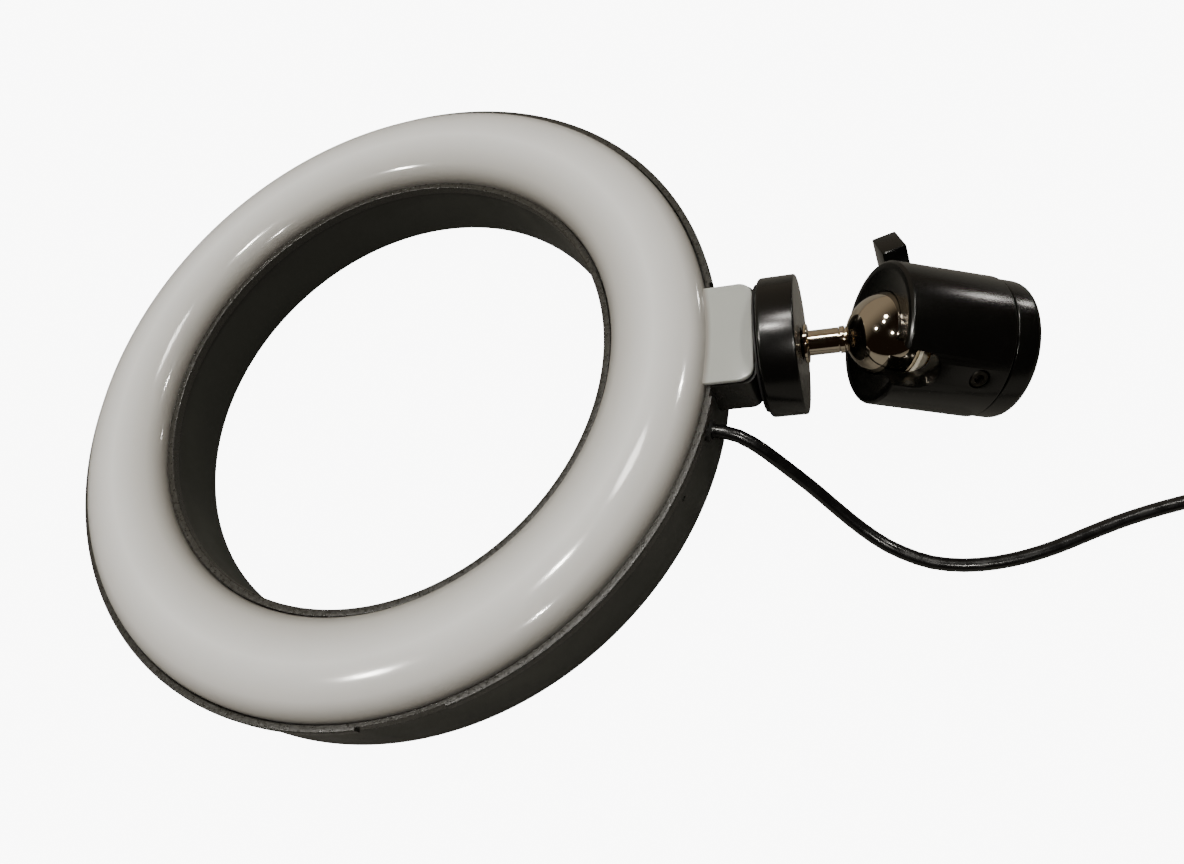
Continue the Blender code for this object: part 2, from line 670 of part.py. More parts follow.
def make_clamp(head):
    """Make the pusher pin, the clamp screw and its lever on the clamp axis."""
    axis = add_empty("clamp_axis", clamp_place(), head)
    pusher = [(0.0, 5.6), (1.6, 5.6), (1.6, 6.9), (0.0, 6.9)]
    add_object("clamp_pusher", turned_mesh("clamp_pusher", pusher, 14), axis, STEEL)
    face = LEVER_NEAR + LEVER_THICK
    screw = [
        (0.0, 7.2), (1.0, 7.2), (1.5, 8.9), (2.35, 9.3), (2.35, face - 3.2), (3.3, face - 3.2),
        (3.3, face - 0.4),
        (3.0, face - 0.1), (1.5, face - 0.1), (1.5, face - 2.2), (0.0, face - 2.2),
    ]
    add_object("clamp_screw", turned_mesh("clamp_screw", screw, 14), axis, STEEL)
    hub = [
        (2.65, LEVER_NEAR), (HUB_R - 0.4, LEVER_NEAR), (HUB_R, LEVER_NEAR + 0.4), (HUB_R, face - 0.4),
        (HUB_R - 0.4, face), (3.6, face), (3.6, face - 3.5), (2.65, face - 3.5),
    ]
    lever = add_object("clamp_lever", turned_mesh("clamp_lever", hub, 18), axis, BLACK_METAL)
    low = (HUB_R - 1.0, -LEVER_WIDTH / 2, LEVER_NEAR)
    high = (LEVER_LENGTH, LEVER_WIDTH / 2, face)
    bar = add_object("lever_bar", box_mesh("lever_bar", low, high, 0.35), axis)
    bar.matrix_local = Matrix.Rotation(lever_turn(), 4, "Z")
    boolean(lever, bar, "UNION")
    return axis


def lever_turn():
    """Return the lever's angle about the clamp axis from that axis's local X, which lies along the head."""
    return math.radians(LEVER_TURN_DEG)


def smooth_route(route, spacing):
    """Return points every spacing millimetres along a smooth curve through a route's own points."""
    points = [Vector(p) for p in route]
    first = points[0] * 2 - points[1]
    last = points[-1] * 2 - points[-2]
    points = [first, *points, last]
    fine = []
    for a, b, c, d in zip(points, points[1:], points[2:], points[3:]):
        for i in range(16):
            t = i / 16
            fine.append(
                0.5 * (2 * b + (c - a) * t + (2 * a - 5 * b + 4 * c - d) * t * t
                       + (3 * b - a - 3 * c + d) * t ** 3)
            )
    fine.append(points[-2])
    lengths = [0.0]
    for a, b in zip(fine, fine[1:]):
        lengths.append(lengths[-1] + (b - a).length)
    count = max(2, round(lengths[-1] / spacing))
    picked = []
    index = 0
    for step in range(count + 1):
        target = lengths[-1] * step / count
        while index < len(fine) - 2 and lengths[index + 1] < target:
            index += 1
        share = (target - lengths[index]) / (lengths[index + 1] - lengths[index])
        picked.append(fine[index].lerp(fine[index + 1], share))
    return picked


def make_tube(name, route, radius, finish, spacing=7.0):
    """Make a round cord along a route, as a curve with a round bevel and closed ends."""
    curve = bpy.data.curves.new(name, "CURVE")
    curve.dimensions = "3D"
    curve.bevel_depth = radius * MM
    curve.bevel_resolution = 2
    curve.use_fill_caps = True
    points = smooth_route(route, spacing)
    line = curve.splines.new("POLY")
    line.points.add(len(points) - 1)
    for spot, place in zip(line.points, points):
        spot.co = (*(place * MM), 1.0)
    return add_object(name, curve, None, finish)


def make_board_lead(ring):
    """Make the short insulated lead inside the ring, from the cable's end down to the board."""
    route = []
    for radius, height in ((70.0, 13.4), (68.2, 13.2), (66.6, 12.0), (66.0, 10.0), (66.0, 7.5), (66.0, 5.6)):
        route.append(ring_point(radius, EXIT_AZIMUTH, height))
    lead = make_tube("board_lead", route, 0.6, RUBBER, 2.2)
    lead.parent = ring


def coil_outline():
    """Return the cross-section of the coil's bundle of turns, with its corners taken off."""
    low, high = COIL_LOW, COIL_HIGH
    inner, outer = COIL_MEAN_R - COIL_HALF_WIDTH, COIL_MEAN_R + COIL_HALF_WIDTH
    cut = 1.4
    return [
        (outer - cut, low), (outer, low + cut), (outer, high - cut), (outer - cut, high),
        (inner + cut, high), (inner, high - cut), (inner, low + cut), (inner + cut, low),
    ]


def make_coil():
    """Make the ring of wound cable and the tie round it."""
    coil = add_object("cable_coil", turned_mesh("cable_coil", coil_outline(), 24), None, CABLE_PVC)
    coil.location = Vector((*COIL_CENTRE, 0.0)) * MM
    make_coil_tie()


def make_coil_tie():
    """Make the flat band that holds the coil's turns together, on its side nearest the ring."""
    half = COIL_HALF_WIDTH + GAP
    low, high = COIL_LOW - GAP, COIL_HIGH + GAP
    inside = ((-half, -TIE_WIDTH, low), (half, TIE_WIDTH, high))
    outside = (
        (-half - TIE_THICK, -TIE_WIDTH / 2, low - TIE_THICK),
        (half + TIE_THICK, TIE_WIDTH / 2, high + TIE_THICK),
    )
    band = add_object("coil_tie", box_mesh("coil_tie", *outside, 1.0, "y"), None, BLACK_PLASTIC)
    hollow = add_object("tie_hollow", box_mesh("tie_hollow", *inside, 0.6, "y"))
    for item in (band, hollow):
        item.location = Vector((COIL_CENTRE[0] - COIL_MEAN_R, COIL_CENTRE[1], 0.0)) * MM
    boolean(band, hollow)


def relief_outline(start, end, wide, narrow):
    """Return the tapered outline of a strain relief along its own axis."""
    return [(0.0, start), (wide, start), (narrow, end), (0.0, end)]


def make_reliefs():
    """Make the tapered strain reliefs at both ends of the inline control and behind the plug."""
    for name, x, y, height, facing in (
        ("control_relief_in", CONTROL_X, CONTROL_Y[0] - GAP, CONTROL_AXIS_Z, -1),
        ("control_relief_out", CONTROL_X, CONTROL_Y[1] + GAP, CONTROL_AXIS_Z, 1),
        ("plug_relief", PLUG_X, PLUG_START_Y - GAP - RELIEF_LENGTH, PLUG_AXIS_Z, 1),
    ):
        outline = relief_outline(0.0, RELIEF_LENGTH - GAP, 2.9, 1.9)
        cone = add_object(name, turned_mesh(name, outline, 16), None, RUBBER)
        cone.matrix_local = axes_matrix((x, y, height), (1, 0, 0), (0, facing, 0))


def make_control():
    """Make the inline control: base, cover, board, screws and four buttons."""
    y0, y1 = CONTROL_Y
    middle = (y0 + y1) / 2
    length = (y1 - y0) / 2
    control = add_empty("control_centre", Matrix.Translation(Vector((CONTROL_X, middle, 0.0)) * MM))
    split = 4.6
    outline = rounded_rectangle(CONTROL_HALF_WIDTH, length, 4.0)
    inside = rounded_rectangle(CONTROL_HALF_WIDTH - 1.3, length - 1.3, 2.7)
    base = add_object("control_base", slab_mesh("control_base", outline, 0.2, split), control, BLACK_PLASTIC)
    boolean(base, add_object("base_hollow", slab_mesh("base_hollow", inside, 1.5, split + 1.0), control))
    lid = slab_mesh("control_cover", outline, split + GAP, CONTROL_HEIGHT)
    cover = add_object("control_cover", lid, control, BLACK_PLASTIC)
    room = slab_mesh("cover_hollow", inside, split - 1.0, CONTROL_HEIGHT - COVER_THICK)
    boolean(cover, add_object("cover_hollow", room, control))
    board = box_mesh("control_board", (-7.0, -length + 3.0, 3.2), (7.0, length - 3.0, 4.2))
    board = add_object("control_board", board, control, HOUSING_ABS)
    for index, along in enumerate((-19.5, 19.5), 1):
        place = Matrix.Translation(Vector((0.0, along, 0.0)) * MM)
        boolean(base, rod_tool(f"screw_bore_{index}", 1.9, -1.0, 3.0, control, place, 12))
        head = [(0.0, 0.7), (1.5, 0.7), (1.5, 1.5), (0.75, 1.5), (0.75, 2.9), (0.0, 2.9)]
        screw = add_object(f"control_screw_{index}", turned_mesh("control_screw", head, 10), control, STEEL)
        screw.matrix_local = place
    for name, along in zip(BUTTON_NAMES, BUTTON_SPOTS):
        place = Matrix.Translation(Vector((0.0, along, 0.0)) * MM)
        boolean(cover, rod_tool(f"{name}_hole", 3.3, 7.0, 12.0, control, place, 14))
        top = CONTROL_HEIGHT + 0.9
        cap = [
            (0.0, 5.4), (1.2, 5.4), (1.2, CONTROL_HEIGHT - 2.4), (3.6, CONTROL_HEIGHT - 2.4),
            (3.6, CONTROL_HEIGHT - 1.6), (3.0, CONTROL_HEIGHT - 1.6), (3.0, top - 0.4), (2.6, top),
            (0.0, top),
        ]
        button = add_object(name, turned_mesh(name, cap, 14), control, BUTTON_RUBBER)
        button.matrix_local = place
        post = rod_tool(f"{name}_switch", 1.6, 4.0, 5.4 - BUTTON_TRAVEL - 0.2, control, place, 12)
        boolean(board, post, "UNION")


def make_plug():
    """Make the USB plug: moulded grip, steel shell and the tongue inside it."""
    back = PLUG_START_Y - GAP - RELIEF_LENGTH - GAP
    front = back - 20.0
    tip = front - 18.2
    grip_low = (PLUG_X - 6.6, front, 0.3)
    grip_high = (PLUG_X + 6.6, back, 7.9)
    add_object("plug_grip", box_mesh("plug_grip", grip_low, grip_high, 0.9), None, BLACK_PLASTIC)
    shell_low = (PLUG_X - 6.0, tip, PLUG_AXIS_Z - 2.25)
    shell_high = (PLUG_X + 6.0, front - GAP, PLUG_AXIS_Z + 2.25)
    shell = add_object("plug_shell", box_mesh("plug_shell", shell_low, shell_high), None, STEEL)
    hollow_low = (shell_low[0] + 0.4, tip - 1.0, shell_low[2] + 0.4)
    hollow_high = (shell_high[0] - 0.4, front - 1.2, shell_high[2] - 0.4)
    boolean(shell, add_object("shell_hollow", box_mesh("shell_hollow", hollow_low, hollow_high)))
    tongue_low = (hollow_low[0] + GAP, tip + 0.5, hollow_low[2] + 2.0 - GAP)
    tongue_high = (hollow_high[0] - GAP, front - 1.2 - GAP, hollow_high[2] - GAP)
    add_object("plug_tongue", box_mesh("plug_tongue", tongue_low, tongue_high), None, BLACK_PLASTIC)


def main():
    """Build the ring light lying on its table."""
    clear_scene()
    ring = add_empty("ring_frame", assembly_place())
    make_back_shell(ring)
    make_diffuser(ring)
    make_led_board(ring)
    make_board_screws(ring)
    make_cable_grommet(ring)
    make_board_lead(ring)
    stem = add_empty("stem_axis", axes_matrix((0, 0, STEM_Z), (0, 0, 1), (1, 0, 0)), ring)
    make_mount_insert(stem)
    make_ball_stem(stem)
    make_lock_disc(stem)
    make_neck_ring(stem)
    head = add_empty("head_frame", head_frame(), ring)
    make_head_housing(head)
    make_friction_cup(head)
    make_pressure_block(head)
    make_base(head)
    make_grub_screw(head)
    make_clamp(head)
    make_tube("cable_lead", LEAD_ROUTE, CABLE_R, CABLE_PVC)
    make_coil()
    make_tube("cable_link", LINK_ROUTE, CABLE_R, CABLE_PVC, 4.0)
    make_reliefs()
    make_control()
    make_tube("cable_tail", TAIL_ROUTE, CABLE_R, CABLE_PVC)
    make_plug()


main()
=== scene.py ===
"""Looks of a small ring light on a mini ball head, with its cable, inline control and plug.

Every sub-assembly is a class that holds its sizes in millimetres, in one of three frames read from the
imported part: the ring's (origin at the centre of its flat back, +X to the head), the head's (origin at the
ball's centre, +Z to the base) and the clamp's (+Z out along the clamp screw).
"""

import json
import logging
import math
from dataclasses import dataclass, field
from enum import Enum

import bmesh
import bpy
from mathutils import Matrix, Vector


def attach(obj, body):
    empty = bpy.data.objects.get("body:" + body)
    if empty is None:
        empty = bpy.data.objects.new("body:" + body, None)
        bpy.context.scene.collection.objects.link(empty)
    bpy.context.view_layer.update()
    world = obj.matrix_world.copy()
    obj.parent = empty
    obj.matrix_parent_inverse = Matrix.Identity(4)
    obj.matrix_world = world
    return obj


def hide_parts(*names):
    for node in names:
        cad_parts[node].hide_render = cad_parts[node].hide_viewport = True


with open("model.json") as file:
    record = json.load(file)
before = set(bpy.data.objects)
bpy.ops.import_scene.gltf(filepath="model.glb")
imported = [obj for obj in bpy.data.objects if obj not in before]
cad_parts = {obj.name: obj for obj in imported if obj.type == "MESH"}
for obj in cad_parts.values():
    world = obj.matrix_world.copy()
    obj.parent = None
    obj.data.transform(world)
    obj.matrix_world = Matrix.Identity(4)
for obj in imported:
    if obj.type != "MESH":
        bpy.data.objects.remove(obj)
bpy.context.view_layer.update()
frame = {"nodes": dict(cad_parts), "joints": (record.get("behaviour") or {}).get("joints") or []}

LOG = logging.getLogger("ring_light")
MM = 0.001
Point2 = tuple[float, float]
Point3 = tuple[float, float, float]


# ---------------------------------------------------------------------------------------- finishes


def to_linear(code: str) -> tuple[float, float, float, float]:
    """Turn an sRGB hex colour into linear values.

    Args:
        code: Six hex digits.

    Returns:
        Red, green, blue and an alpha of one.
    """
    parts = [int(code[i:i + 2], 16) / 255.0 for i in (0, 2, 4)]
    bright = [p / 12.92 if p <= 0.04045 else ((p + 0.055) / 1.055) ** 2.4 for p in parts]
    return (bright[0], bright[1], bright[2], 1.0)


def add_node(
    tree: bpy.types.NodeTree,
    kind: str,
    settings: dict[str, object] | None = None,
    inputs: dict[str | int, object] | None = None,
) -> bpy.types.Node:
    """Add a node with its settings, values and links.

    Args:
        tree: The material's node tree.
        kind: The node's type name.
        settings: Attributes of the node.
        inputs: For each input, a value or the output socket that feeds it.

    Returns:
        The new node.
    """
    node = tree.nodes.new(kind)
    for name, value in (settings or {}).items():
        setattr(node, name, value)
    for name, value in (inputs or {}).items():
        if isinstance(value, bpy.types.NodeSocket):
            tree.links.new(value, node.inputs[name])
        else:
            node.inputs[name].default_value = value
    return node


@dataclass(frozen=True)
class Finish:
    """A material and how its surface was made.

    Attributes:
        name: The material's name.
        colour: Base colour as an sRGB hex value.
        roughness: Mean roughness.
        metallic: One for bare metal and zero for everything else.
        ior: Index of refraction; a metal keeps the default.
    """

    name: str
    colour: str
    roughness: float
    metallic: float = 0.0
    ior: float = 1.5

    def material(self) -> bpy.types.Material:
        """Return the material, made on first use."""
        found = bpy.data.materials.get(self.name)
        if found:
            return found
        made = bpy.data.materials.new(self.name)
        made.use_nodes = True
        tree = made.node_tree
        shader = tree.nodes["Principled BSDF"]
        shader.inputs["Base Color"].default_value = to_linear(self.colour)
        shader.inputs["Roughness"].default_value = self.roughness
        shader.inputs["Metallic"].default_value = self.metallic
        shader.inputs["IOR"].default_value = self.ior
        self.dress(tree, shader, add_node(tree, "ShaderNodeTexCoord").outputs["Object"])
        return made

    def dress(self, tree: bpy.types.NodeTree, shader: bpy.types.Node, place: bpy.types.NodeSocket) -> None:
        """Add the finish's own pattern; the plain finish has none."""

    def vary_roughness(self, tree: bpy.types.NodeTree, shader: bpy.types.Node,
                       cause: bpy.types.NodeSocket, spread: float) -> None:
        """Let a pattern raise and lower the roughness.

        Args:
            tree: The material's node tree.
            shader: The Principled shader.
            cause: A pattern from zero to one.
            spread: Half the difference between the roughest and the smoothest spot.
        """
        low, high = max(self.roughness - spread, 0.02), self.roughness + spread
        limits = {"Value": cause, "From Min": 0.3, "From Max": 0.7, "To Min": low, "To Max": high}
        ranged = add_node(tree, "ShaderNodeMapRange", inputs=limits)
        tree.links.new(ranged.outputs["Result"], shader.inputs["Roughness"])

    def vary_colour(self, tree: bpy.types.NodeTree, shader: bpy.types.Node,
                    cause: bpy.types.NodeSocket, other: str) -> None:
        """Blend the base colour towards another one where a pattern is high.

        Args:
            tree: The material's node tree.
            shader: The Principled shader.
            cause: A pattern from zero to one.
            other: The other colour as an sRGB hex value.
        """
        inputs = {0: cause, 6: to_linear(self.colour), 7: to_linear(other)}
        mixed = add_node(tree, "ShaderNodeMix", {"data_type": "RGBA"}, inputs)
        tree.links.new(mixed.outputs[2], shader.inputs["Base Color"])


def pattern_scale(size_mm: float) -> float:
    """Return the texture scale whose features are about this many millimetres across."""
    return 1.0 / (size_mm * MM)


@dataclass(frozen=True)
class MouldedPlastic(Finish):
    """Injection-moulded plastic with the grain of its mould.

    Attributes:
        grain_mm: Size of the mould's grain.
        depth_mm: Depth of the grain.
        wear: Colour that shows where the surface is rubbed.
    """

    grain_mm: float = 0.25
    depth_mm: float = 0.004
    wear: str = "3A3934"

    def dress(self, tree: bpy.types.NodeTree, shader: bpy.types.Node, place: bpy.types.NodeSocket) -> None:
        """Add fine grain, a slow change of gloss and a trace of rubbing."""
        grain = add_node(tree, "ShaderNodeTexNoise", inputs={
            "Vector": place, "Scale": pattern_scale(self.grain_mm), "Detail": 2.0, "Roughness": 0.6})
        slow = add_node(tree, "ShaderNodeTexNoise", inputs={
            "Vector": place, "Scale": pattern_scale(14.0), "Detail": 3.0})
        self.vary_roughness(tree, shader, slow.outputs["Fac"], 0.07)
        rubbed = add_node(tree, "ShaderNodeMapRange", inputs={
            "Value": slow.outputs["Fac"], "From Min": 0.5, "From Max": 0.8, "To Min": 0.0, "To Max": 0.18})
        self.vary_colour(tree, shader, rubbed.outputs["Result"], self.wear)
        bump = add_node(tree, "ShaderNodeBump", inputs={
            "Height": grain.outputs["Fac"], "Distance": self.depth_mm * MM, "Strength": 1.0})
        tree.links.new(bump.outputs["Normal"], shader.inputs["Normal"])


@dataclass(frozen=True)
class SparkErodedPlastic(Finish):
    """Plastic moulded against a spark-eroded tool: small rounded pits that sparkle in light."""

    grain_mm: float = 0.34
    depth_mm: float = 0.06
    # colour of the painted sheen on the grain's crests
    painted_crest_sheen: str = "35342F"

    def dress(self, tree: bpy.types.NodeTree, shader: bpy.types.Node, place: bpy.types.NodeSocket) -> None:
        """Add a rounded grain whose crests carry a painted sheen that makes them lighter than its pits."""
        grain = add_node(tree, "ShaderNodeTexVoronoi", {"feature": "SMOOTH_F1"}, {
            "Vector": place, "Scale": pattern_scale(self.grain_mm), "Smoothness": 0.6})
        uneven = add_node(tree, "ShaderNodeTexNoise", inputs={
            "Vector": place, "Scale": pattern_scale(0.9), "Detail": 3.0, "Roughness": 0.65})
        height = add_node(tree, "ShaderNodeMath", {"operation": "MULTIPLY"}, {
            0: grain.outputs["Distance"], 1: uneven.outputs["Fac"]})
        # painted sheen: the crests of the grain are tinted lighter than its pits
        painted_crest_sheen = add_node(tree, "ShaderNodeMapRange", inputs={
            "Value": height.outputs[0], "From Min": 0.12, "From Max": 0.38, "To Min": 0.0, "To Max": 0.8})
        self.vary_colour(tree, shader, painted_crest_sheen.outputs["Result"], self.painted_crest_sheen)
        self.vary_roughness(tree, shader, uneven.outputs["Fac"], 0.12)
        bump = add_node(tree, "ShaderNodeBump", inputs={
            "Height": height.outputs[0], "Distance": self.depth_mm * MM, "Strength": 1.0})
        tree.links.new(bump.outputs["Normal"], shader.inputs["Normal"])


@dataclass(frozen=True)
class OpalAcrylic(Finish):
    """Glossy opal acrylic, with painted shade where the bulge turns down to its edges.

    Attributes:
        middle_r: Radius of the crown of the bulge.
        half_width: Half the width of the bulge.
        edge: Colour of the painted shade at the bulge's turned-down edges.
        tab: Colour of the flat tab beyond the bulge.
    """

    middle_r: float = 67.5
    half_width: float = 10.7
    # colour of the painted shade at the bulge's turned-down edges
    edge: str = "8F8C86"
    tab: str = "ADB0AC"

    def dress(self, tree: bpy.types.NodeTree, shader: bpy.types.Node, place: bpy.types.NodeSocket) -> None:
        """Paint light and shade on the bulge, lightest at its crown and darker towards its edges, and leave
        faint flow lines in the sheet.
        """
        flat = add_node(tree, "ShaderNodeVectorMath", {"operation": "MULTIPLY"}, {
            0: place, 1: (1.0, 1.0, 0.0)})
        radius = add_node(tree, "ShaderNodeVectorMath", {"operation": "LENGTH"}, {0: flat.outputs["Vector"]})
        across = add_node(tree, "ShaderNodeMapRange", {"clamp": True}, {
            "Value": radius.outputs["Value"],
            "From Min": (self.middle_r - self.half_width) * MM,
            "From Max": (self.middle_r + 2 * self.half_width) * MM})
        # painted light and shade: the colour follows the radius, lightest at the crown and darkest at both
        # turned-down edges, with the tab's own colour beyond
        ramp = add_node(tree, "ShaderNodeValToRGB", inputs={"Fac": across.outputs["Result"]})
        stops = [(0.0, self.edge), (0.09, "BDBCB8"), (0.333, self.colour),
                 (0.56, "CBCAC7"), (0.66, self.edge), (0.69, self.tab)]
        points = ramp.color_ramp.elements
        for index, (where, code) in enumerate(stops):
            point = points[index] if index < 2 else points.new(where)
            point.position = where
            point.color = to_linear(code)
        tree.links.new(ramp.outputs["Color"], shader.inputs["Base Color"])
        slow = add_node(tree, "ShaderNodeTexNoise", inputs={
            "Vector": place, "Scale": pattern_scale(26.0), "Detail": 2.0})
        self.vary_roughness(tree, shader, slow.outputs["Fac"], 0.035)
        waves = add_node(tree, "ShaderNodeBump", inputs={
            "Height": slow.outputs["Fac"], "Distance": 0.05 * MM, "Strength": 0.5})
        tree.links.new(waves.outputs["Normal"], shader.inputs["Normal"])
        shader.inputs["Subsurface Weight"].default_value = 0.25
        shader.inputs["Subsurface Radius"].default_value = (1.0, 0.96, 0.9)
        shader.inputs["Subsurface Scale"].default_value = 2.5 * MM


@dataclass(frozen=True)
class TurnedMetal(Finish):
    """Metal turned on a lathe, bare, plated or anodised.

    Attributes:
        line_mm: Spacing of the tool's lines along the axis.
        depth_mm: Depth of the lines.
        bloom: Colour of handling marks.
        marks: How strongly the marks show.
        scatter: How much the roughness varies.
    """

    line_mm: float = 0.16
    depth_mm: float = 0.0015
    bloom: str = "3A3934"
    marks: float = 0.3
    scatter: float = 0.03

    def dress(self, tree: bpy.types.NodeTree, shader: bpy.types.Node, place: bpy.types.NodeSocket) -> None:
        """Add rings about the local Z axis, handling marks and a change of roughness."""
        split = add_node(tree, "ShaderNodeSeparateXYZ", inputs={"Vector": place})
        flat = add_node(tree, "ShaderNodeVectorMath", {"operation": "MULTIPLY"}, {
            0: place, 1: (1.0, 1.0, 0.0)})
        radius = add_node(tree, "ShaderNodeVectorMath", {"operation": "LENGTH"}, {0: flat.outputs["Vector"]})
        ringed = add_node(tree, "ShaderNodeCombineXYZ", inputs={
            "X": radius.outputs["Value"], "Y": split.outputs["Z"]})
        lines = add_node(tree, "ShaderNodeTexNoise", inputs={
            "Vector": ringed.outputs["Vector"], "Scale": pattern_scale(self.line_mm), "Detail": 3.0})
        slow = add_node(tree, "ShaderNodeTexNoise", inputs={
            "Vector": place, "Scale": pattern_scale(3.0), "Detail": 6.0, "Roughness": 0.7})
        self.vary_roughness(tree, shader, slow.outputs["Fac"], self.scatter)
        marked = add_node(tree, "ShaderNodeMapRange", inputs={
            "Value": slow.outputs["Fac"], "From Min": 0.55, "From Max": 0.78,
            "To Min": 0.0, "To Max": self.marks})
        self.vary_colour(tree, shader, marked.outputs["Result"], self.bloom)
        bump = add_node(tree, "ShaderNodeBump", inputs={
            "Height": lines.outputs["Fac"], "Distance": self.depth_mm * MM, "Strength": 1.0})
        tree.links.new(bump.outputs["Normal"], shader.inputs["Normal"])


@dataclass(frozen=True)
class ExtrudedJacket(Finish):
    """Cable jacket pulled through a die: smooth, with a faint ripple and a little dust."""

    ripple_mm: float = 2.4
    dust: str = "3B3935"

    def dress(self, tree: bpy.types.NodeTree, shader: bpy.types.Node, place: bpy.types.NodeSocket) -> None:
        """Add the ripple, the dust and a change of gloss."""
        ripple = add_node(tree, "ShaderNodeTexNoise", inputs={
            "Vector": place, "Scale": pattern_scale(self.ripple_mm), "Detail": 2.0})
        dust = add_node(tree, "ShaderNodeTexNoise", inputs={
            "Vector": place, "Scale": pattern_scale(0.5), "Detail": 4.0, "Roughness": 0.7})
        self.vary_roughness(tree, shader, ripple.outputs["Fac"], 0.08)
        speck = add_node(tree, "ShaderNodeMapRange", inputs={
            "Value": dust.outputs["Fac"], "From Min": 0.62, "From Max": 0.75, "To Min": 0.0, "To Max": 0.15})
        self.vary_colour(tree, shader, speck.outputs["Result"], self.dust)
        bump = add_node(tree, "ShaderNodeBump", inputs={
            "Height": ripple.outputs["Fac"], "Distance": 0.012 * MM, "Strength": 0.5})
        tree.links.new(bump.outputs["Normal"], shader.inputs["Normal"])


@dataclass(frozen=True)
class SolderMask(Finish):
    """Circuit board under a printed solder mask, with tinned pads showing through it."""

    pad: str = "C9B36A"
    pad_mm: float = 2.6

    def dress(self, tree: bpy.types.NodeTree, shader: bpy.types.Node, place: bpy.types.NodeSocket) -> None:
        """Add the pads and the mask's slight unevenness."""
        cells = add_node(tree, "ShaderNodeTexVoronoi", {"distance": "CHEBYCHEV"}, {
            "Vector": place, "Scale": pattern_scale(self.pad_mm), "Randomness": 0.4})
        pads = add_node(tree, "ShaderNodeMapRange", inputs={
            "Value": cells.outputs["Distance"], "From Min": 0.16, "From Max": 0.14,
            "To Min": 0.0, "To Max": 1.0})
        self.vary_colour(tree, shader, pads.outputs["Result"], self.pad)
        self.vary_roughness(tree, shader, cells.outputs["Distance"], 0.1)


# Opal acrylic, moulded and glossy: a soft grey-white when unlit, with painted shade where it turns down.
OPAL = OpalAcrylic("opal_acrylic_moulded", "E6E7E6", 0.1, ior=1.49)
# ABS, moulded in a fine satin mould: near black with an olive cast.
HOUSING = MouldedPlastic("abs_satin_moulded", "22241F", 0.42, ior=1.53, wear="2E302A")
# The same ABS against a spark-eroded tool: a sparkling rim, made grey by a painted sheen on the grain's
# crests.
RIM = SparkErodedPlastic("abs_spark_eroded", "1F1F1B", 0.34, ior=1.53)
# ABS, moulded and glossy: the mounting block, blacker than the ring's wall.
BLOCK = MouldedPlastic("abs_gloss_moulded", "12120F", 0.3, ior=1.53, grain_mm=0.6, depth_mm=0.003)
# Aluminium, turned and anodised black: a deep satin black whose oxide layer gives soft streaks.
ANODISED = TurnedMetal("aluminium_black_anodised", "070706", 0.22, ior=1.5, marks=0.05, bloom="2A2926",
                       scatter=0.012)
# Steel, turned, polished and nickel plated: a warm mirror with faint smears.
NICKEL = TurnedMetal("nickel_polished_plate", "D8CDBB", 0.06, 1.0, line_mm=0.3, depth_mm=0.0003,
                     bloom="A8977C", marks=0.35, scatter=0.03)
# Steel, zinc plated: pale, slightly blue and softly bright.
ZINC = TurnedMetal("steel_zinc_plated", "B9BCC0", 0.3, 1.0, line_mm=0.2, bloom="8F9297", marks=0.4)
# Steel, heat-blackened: the grub screw, dark with bright worn marks.
BLACKENED = TurnedMetal("steel_blackened", "35332F", 0.36, 1.0, bloom="77736B", marks=0.5)
# Brass, turned: yellow with clear tool lines.
BRASS = TurnedMetal("brass_turned", "B9934E", 0.28, 1.0, line_mm=0.2, depth_mm=0.003,
                    bloom="8C6A33", marks=0.4)
# Nylon, moulded, natural: creamy and waxy.
NYLON = MouldedPlastic("nylon_natural_moulded", "D8D2BE", 0.42, ior=1.53, wear="BDB59B")
# Rubber, moulded: matt black with a grey bloom.
RUBBER = MouldedPlastic("rubber_black_moulded", "151514", 0.62, ior=1.52, grain_mm=0.4, depth_mm=0.01)
# Soft vinyl, extruded: a shiny black jacket.
JACKET = ExtrudedJacket("vinyl_black_extruded", "0D0D0D", 0.26, ior=1.54)
# ABS, moulded with a fine texture: the inline control and the plug's grip.
CONTROL = MouldedPlastic("abs_black_textured", "191918", 0.5, ior=1.53, grain_mm=0.35, depth_mm=0.02)
# Silicone, moulded: grey and dull, for the buttons.
SILICONE = MouldedPlastic("silicone_grey_moulded", "6B6B69", 0.6, ior=1.43, wear="7B7B78", grain_mm=0.5)
# Solder mask, printed white over copper: the boards.
MASK = SolderMask("solder_mask_white", "E4E4DE", 0.4, ior=1.5)


# ------------------------------------------------------------------------------------- mesh making


def arc(centre: Point2, radius: float, start: float, end: float, steps: int) -> list[Point2]:
    """Return points on an arc.

    Args:
        centre: The arc's centre.
        radius: Its radius.
        start: First angle in degrees.
        end: Last angle in degrees.
        steps: How many stretches the arc has.

    Returns:
        The points, both ends included.
    """
    turns = [math.radians(start + (end - start) * i / steps) for i in range(steps + 1)]
    return [(centre[0] + radius * math.cos(a), centre[1] + radius * math.sin(a)) for a in turns]


def rounded(points: list[Point2], radii: dict[int, float], steps: int = 4) -> list[Point2]:
    """Round chosen corners of a closed outline.

    Args:
        points: The outline's corners.
        radii: For the index of each corner to round, how far back along its edges the rounding starts.
        steps: How many stretches each rounding has.

    Returns:
        The outline with its roundings.
    """
    made: list[Point2] = []
    for index, corner in enumerate(points):
        if index not in radii:
            made.append(corner)
            continue
        here = Vector(corner)
        before = Vector(points[index - 1]) - here
        after = Vector(points[(index + 1) % len(points)]) - here
        start = here + before.normalized() * radii[index]
        end = here + after.normalized() * radii[index]
        for step in range(steps + 1):
            share = step / steps
            point = start * (1 - share) ** 2 + here * 2 * share * (1 - share) + end * share ** 2
            made.append((point.x, point.y))
    return made


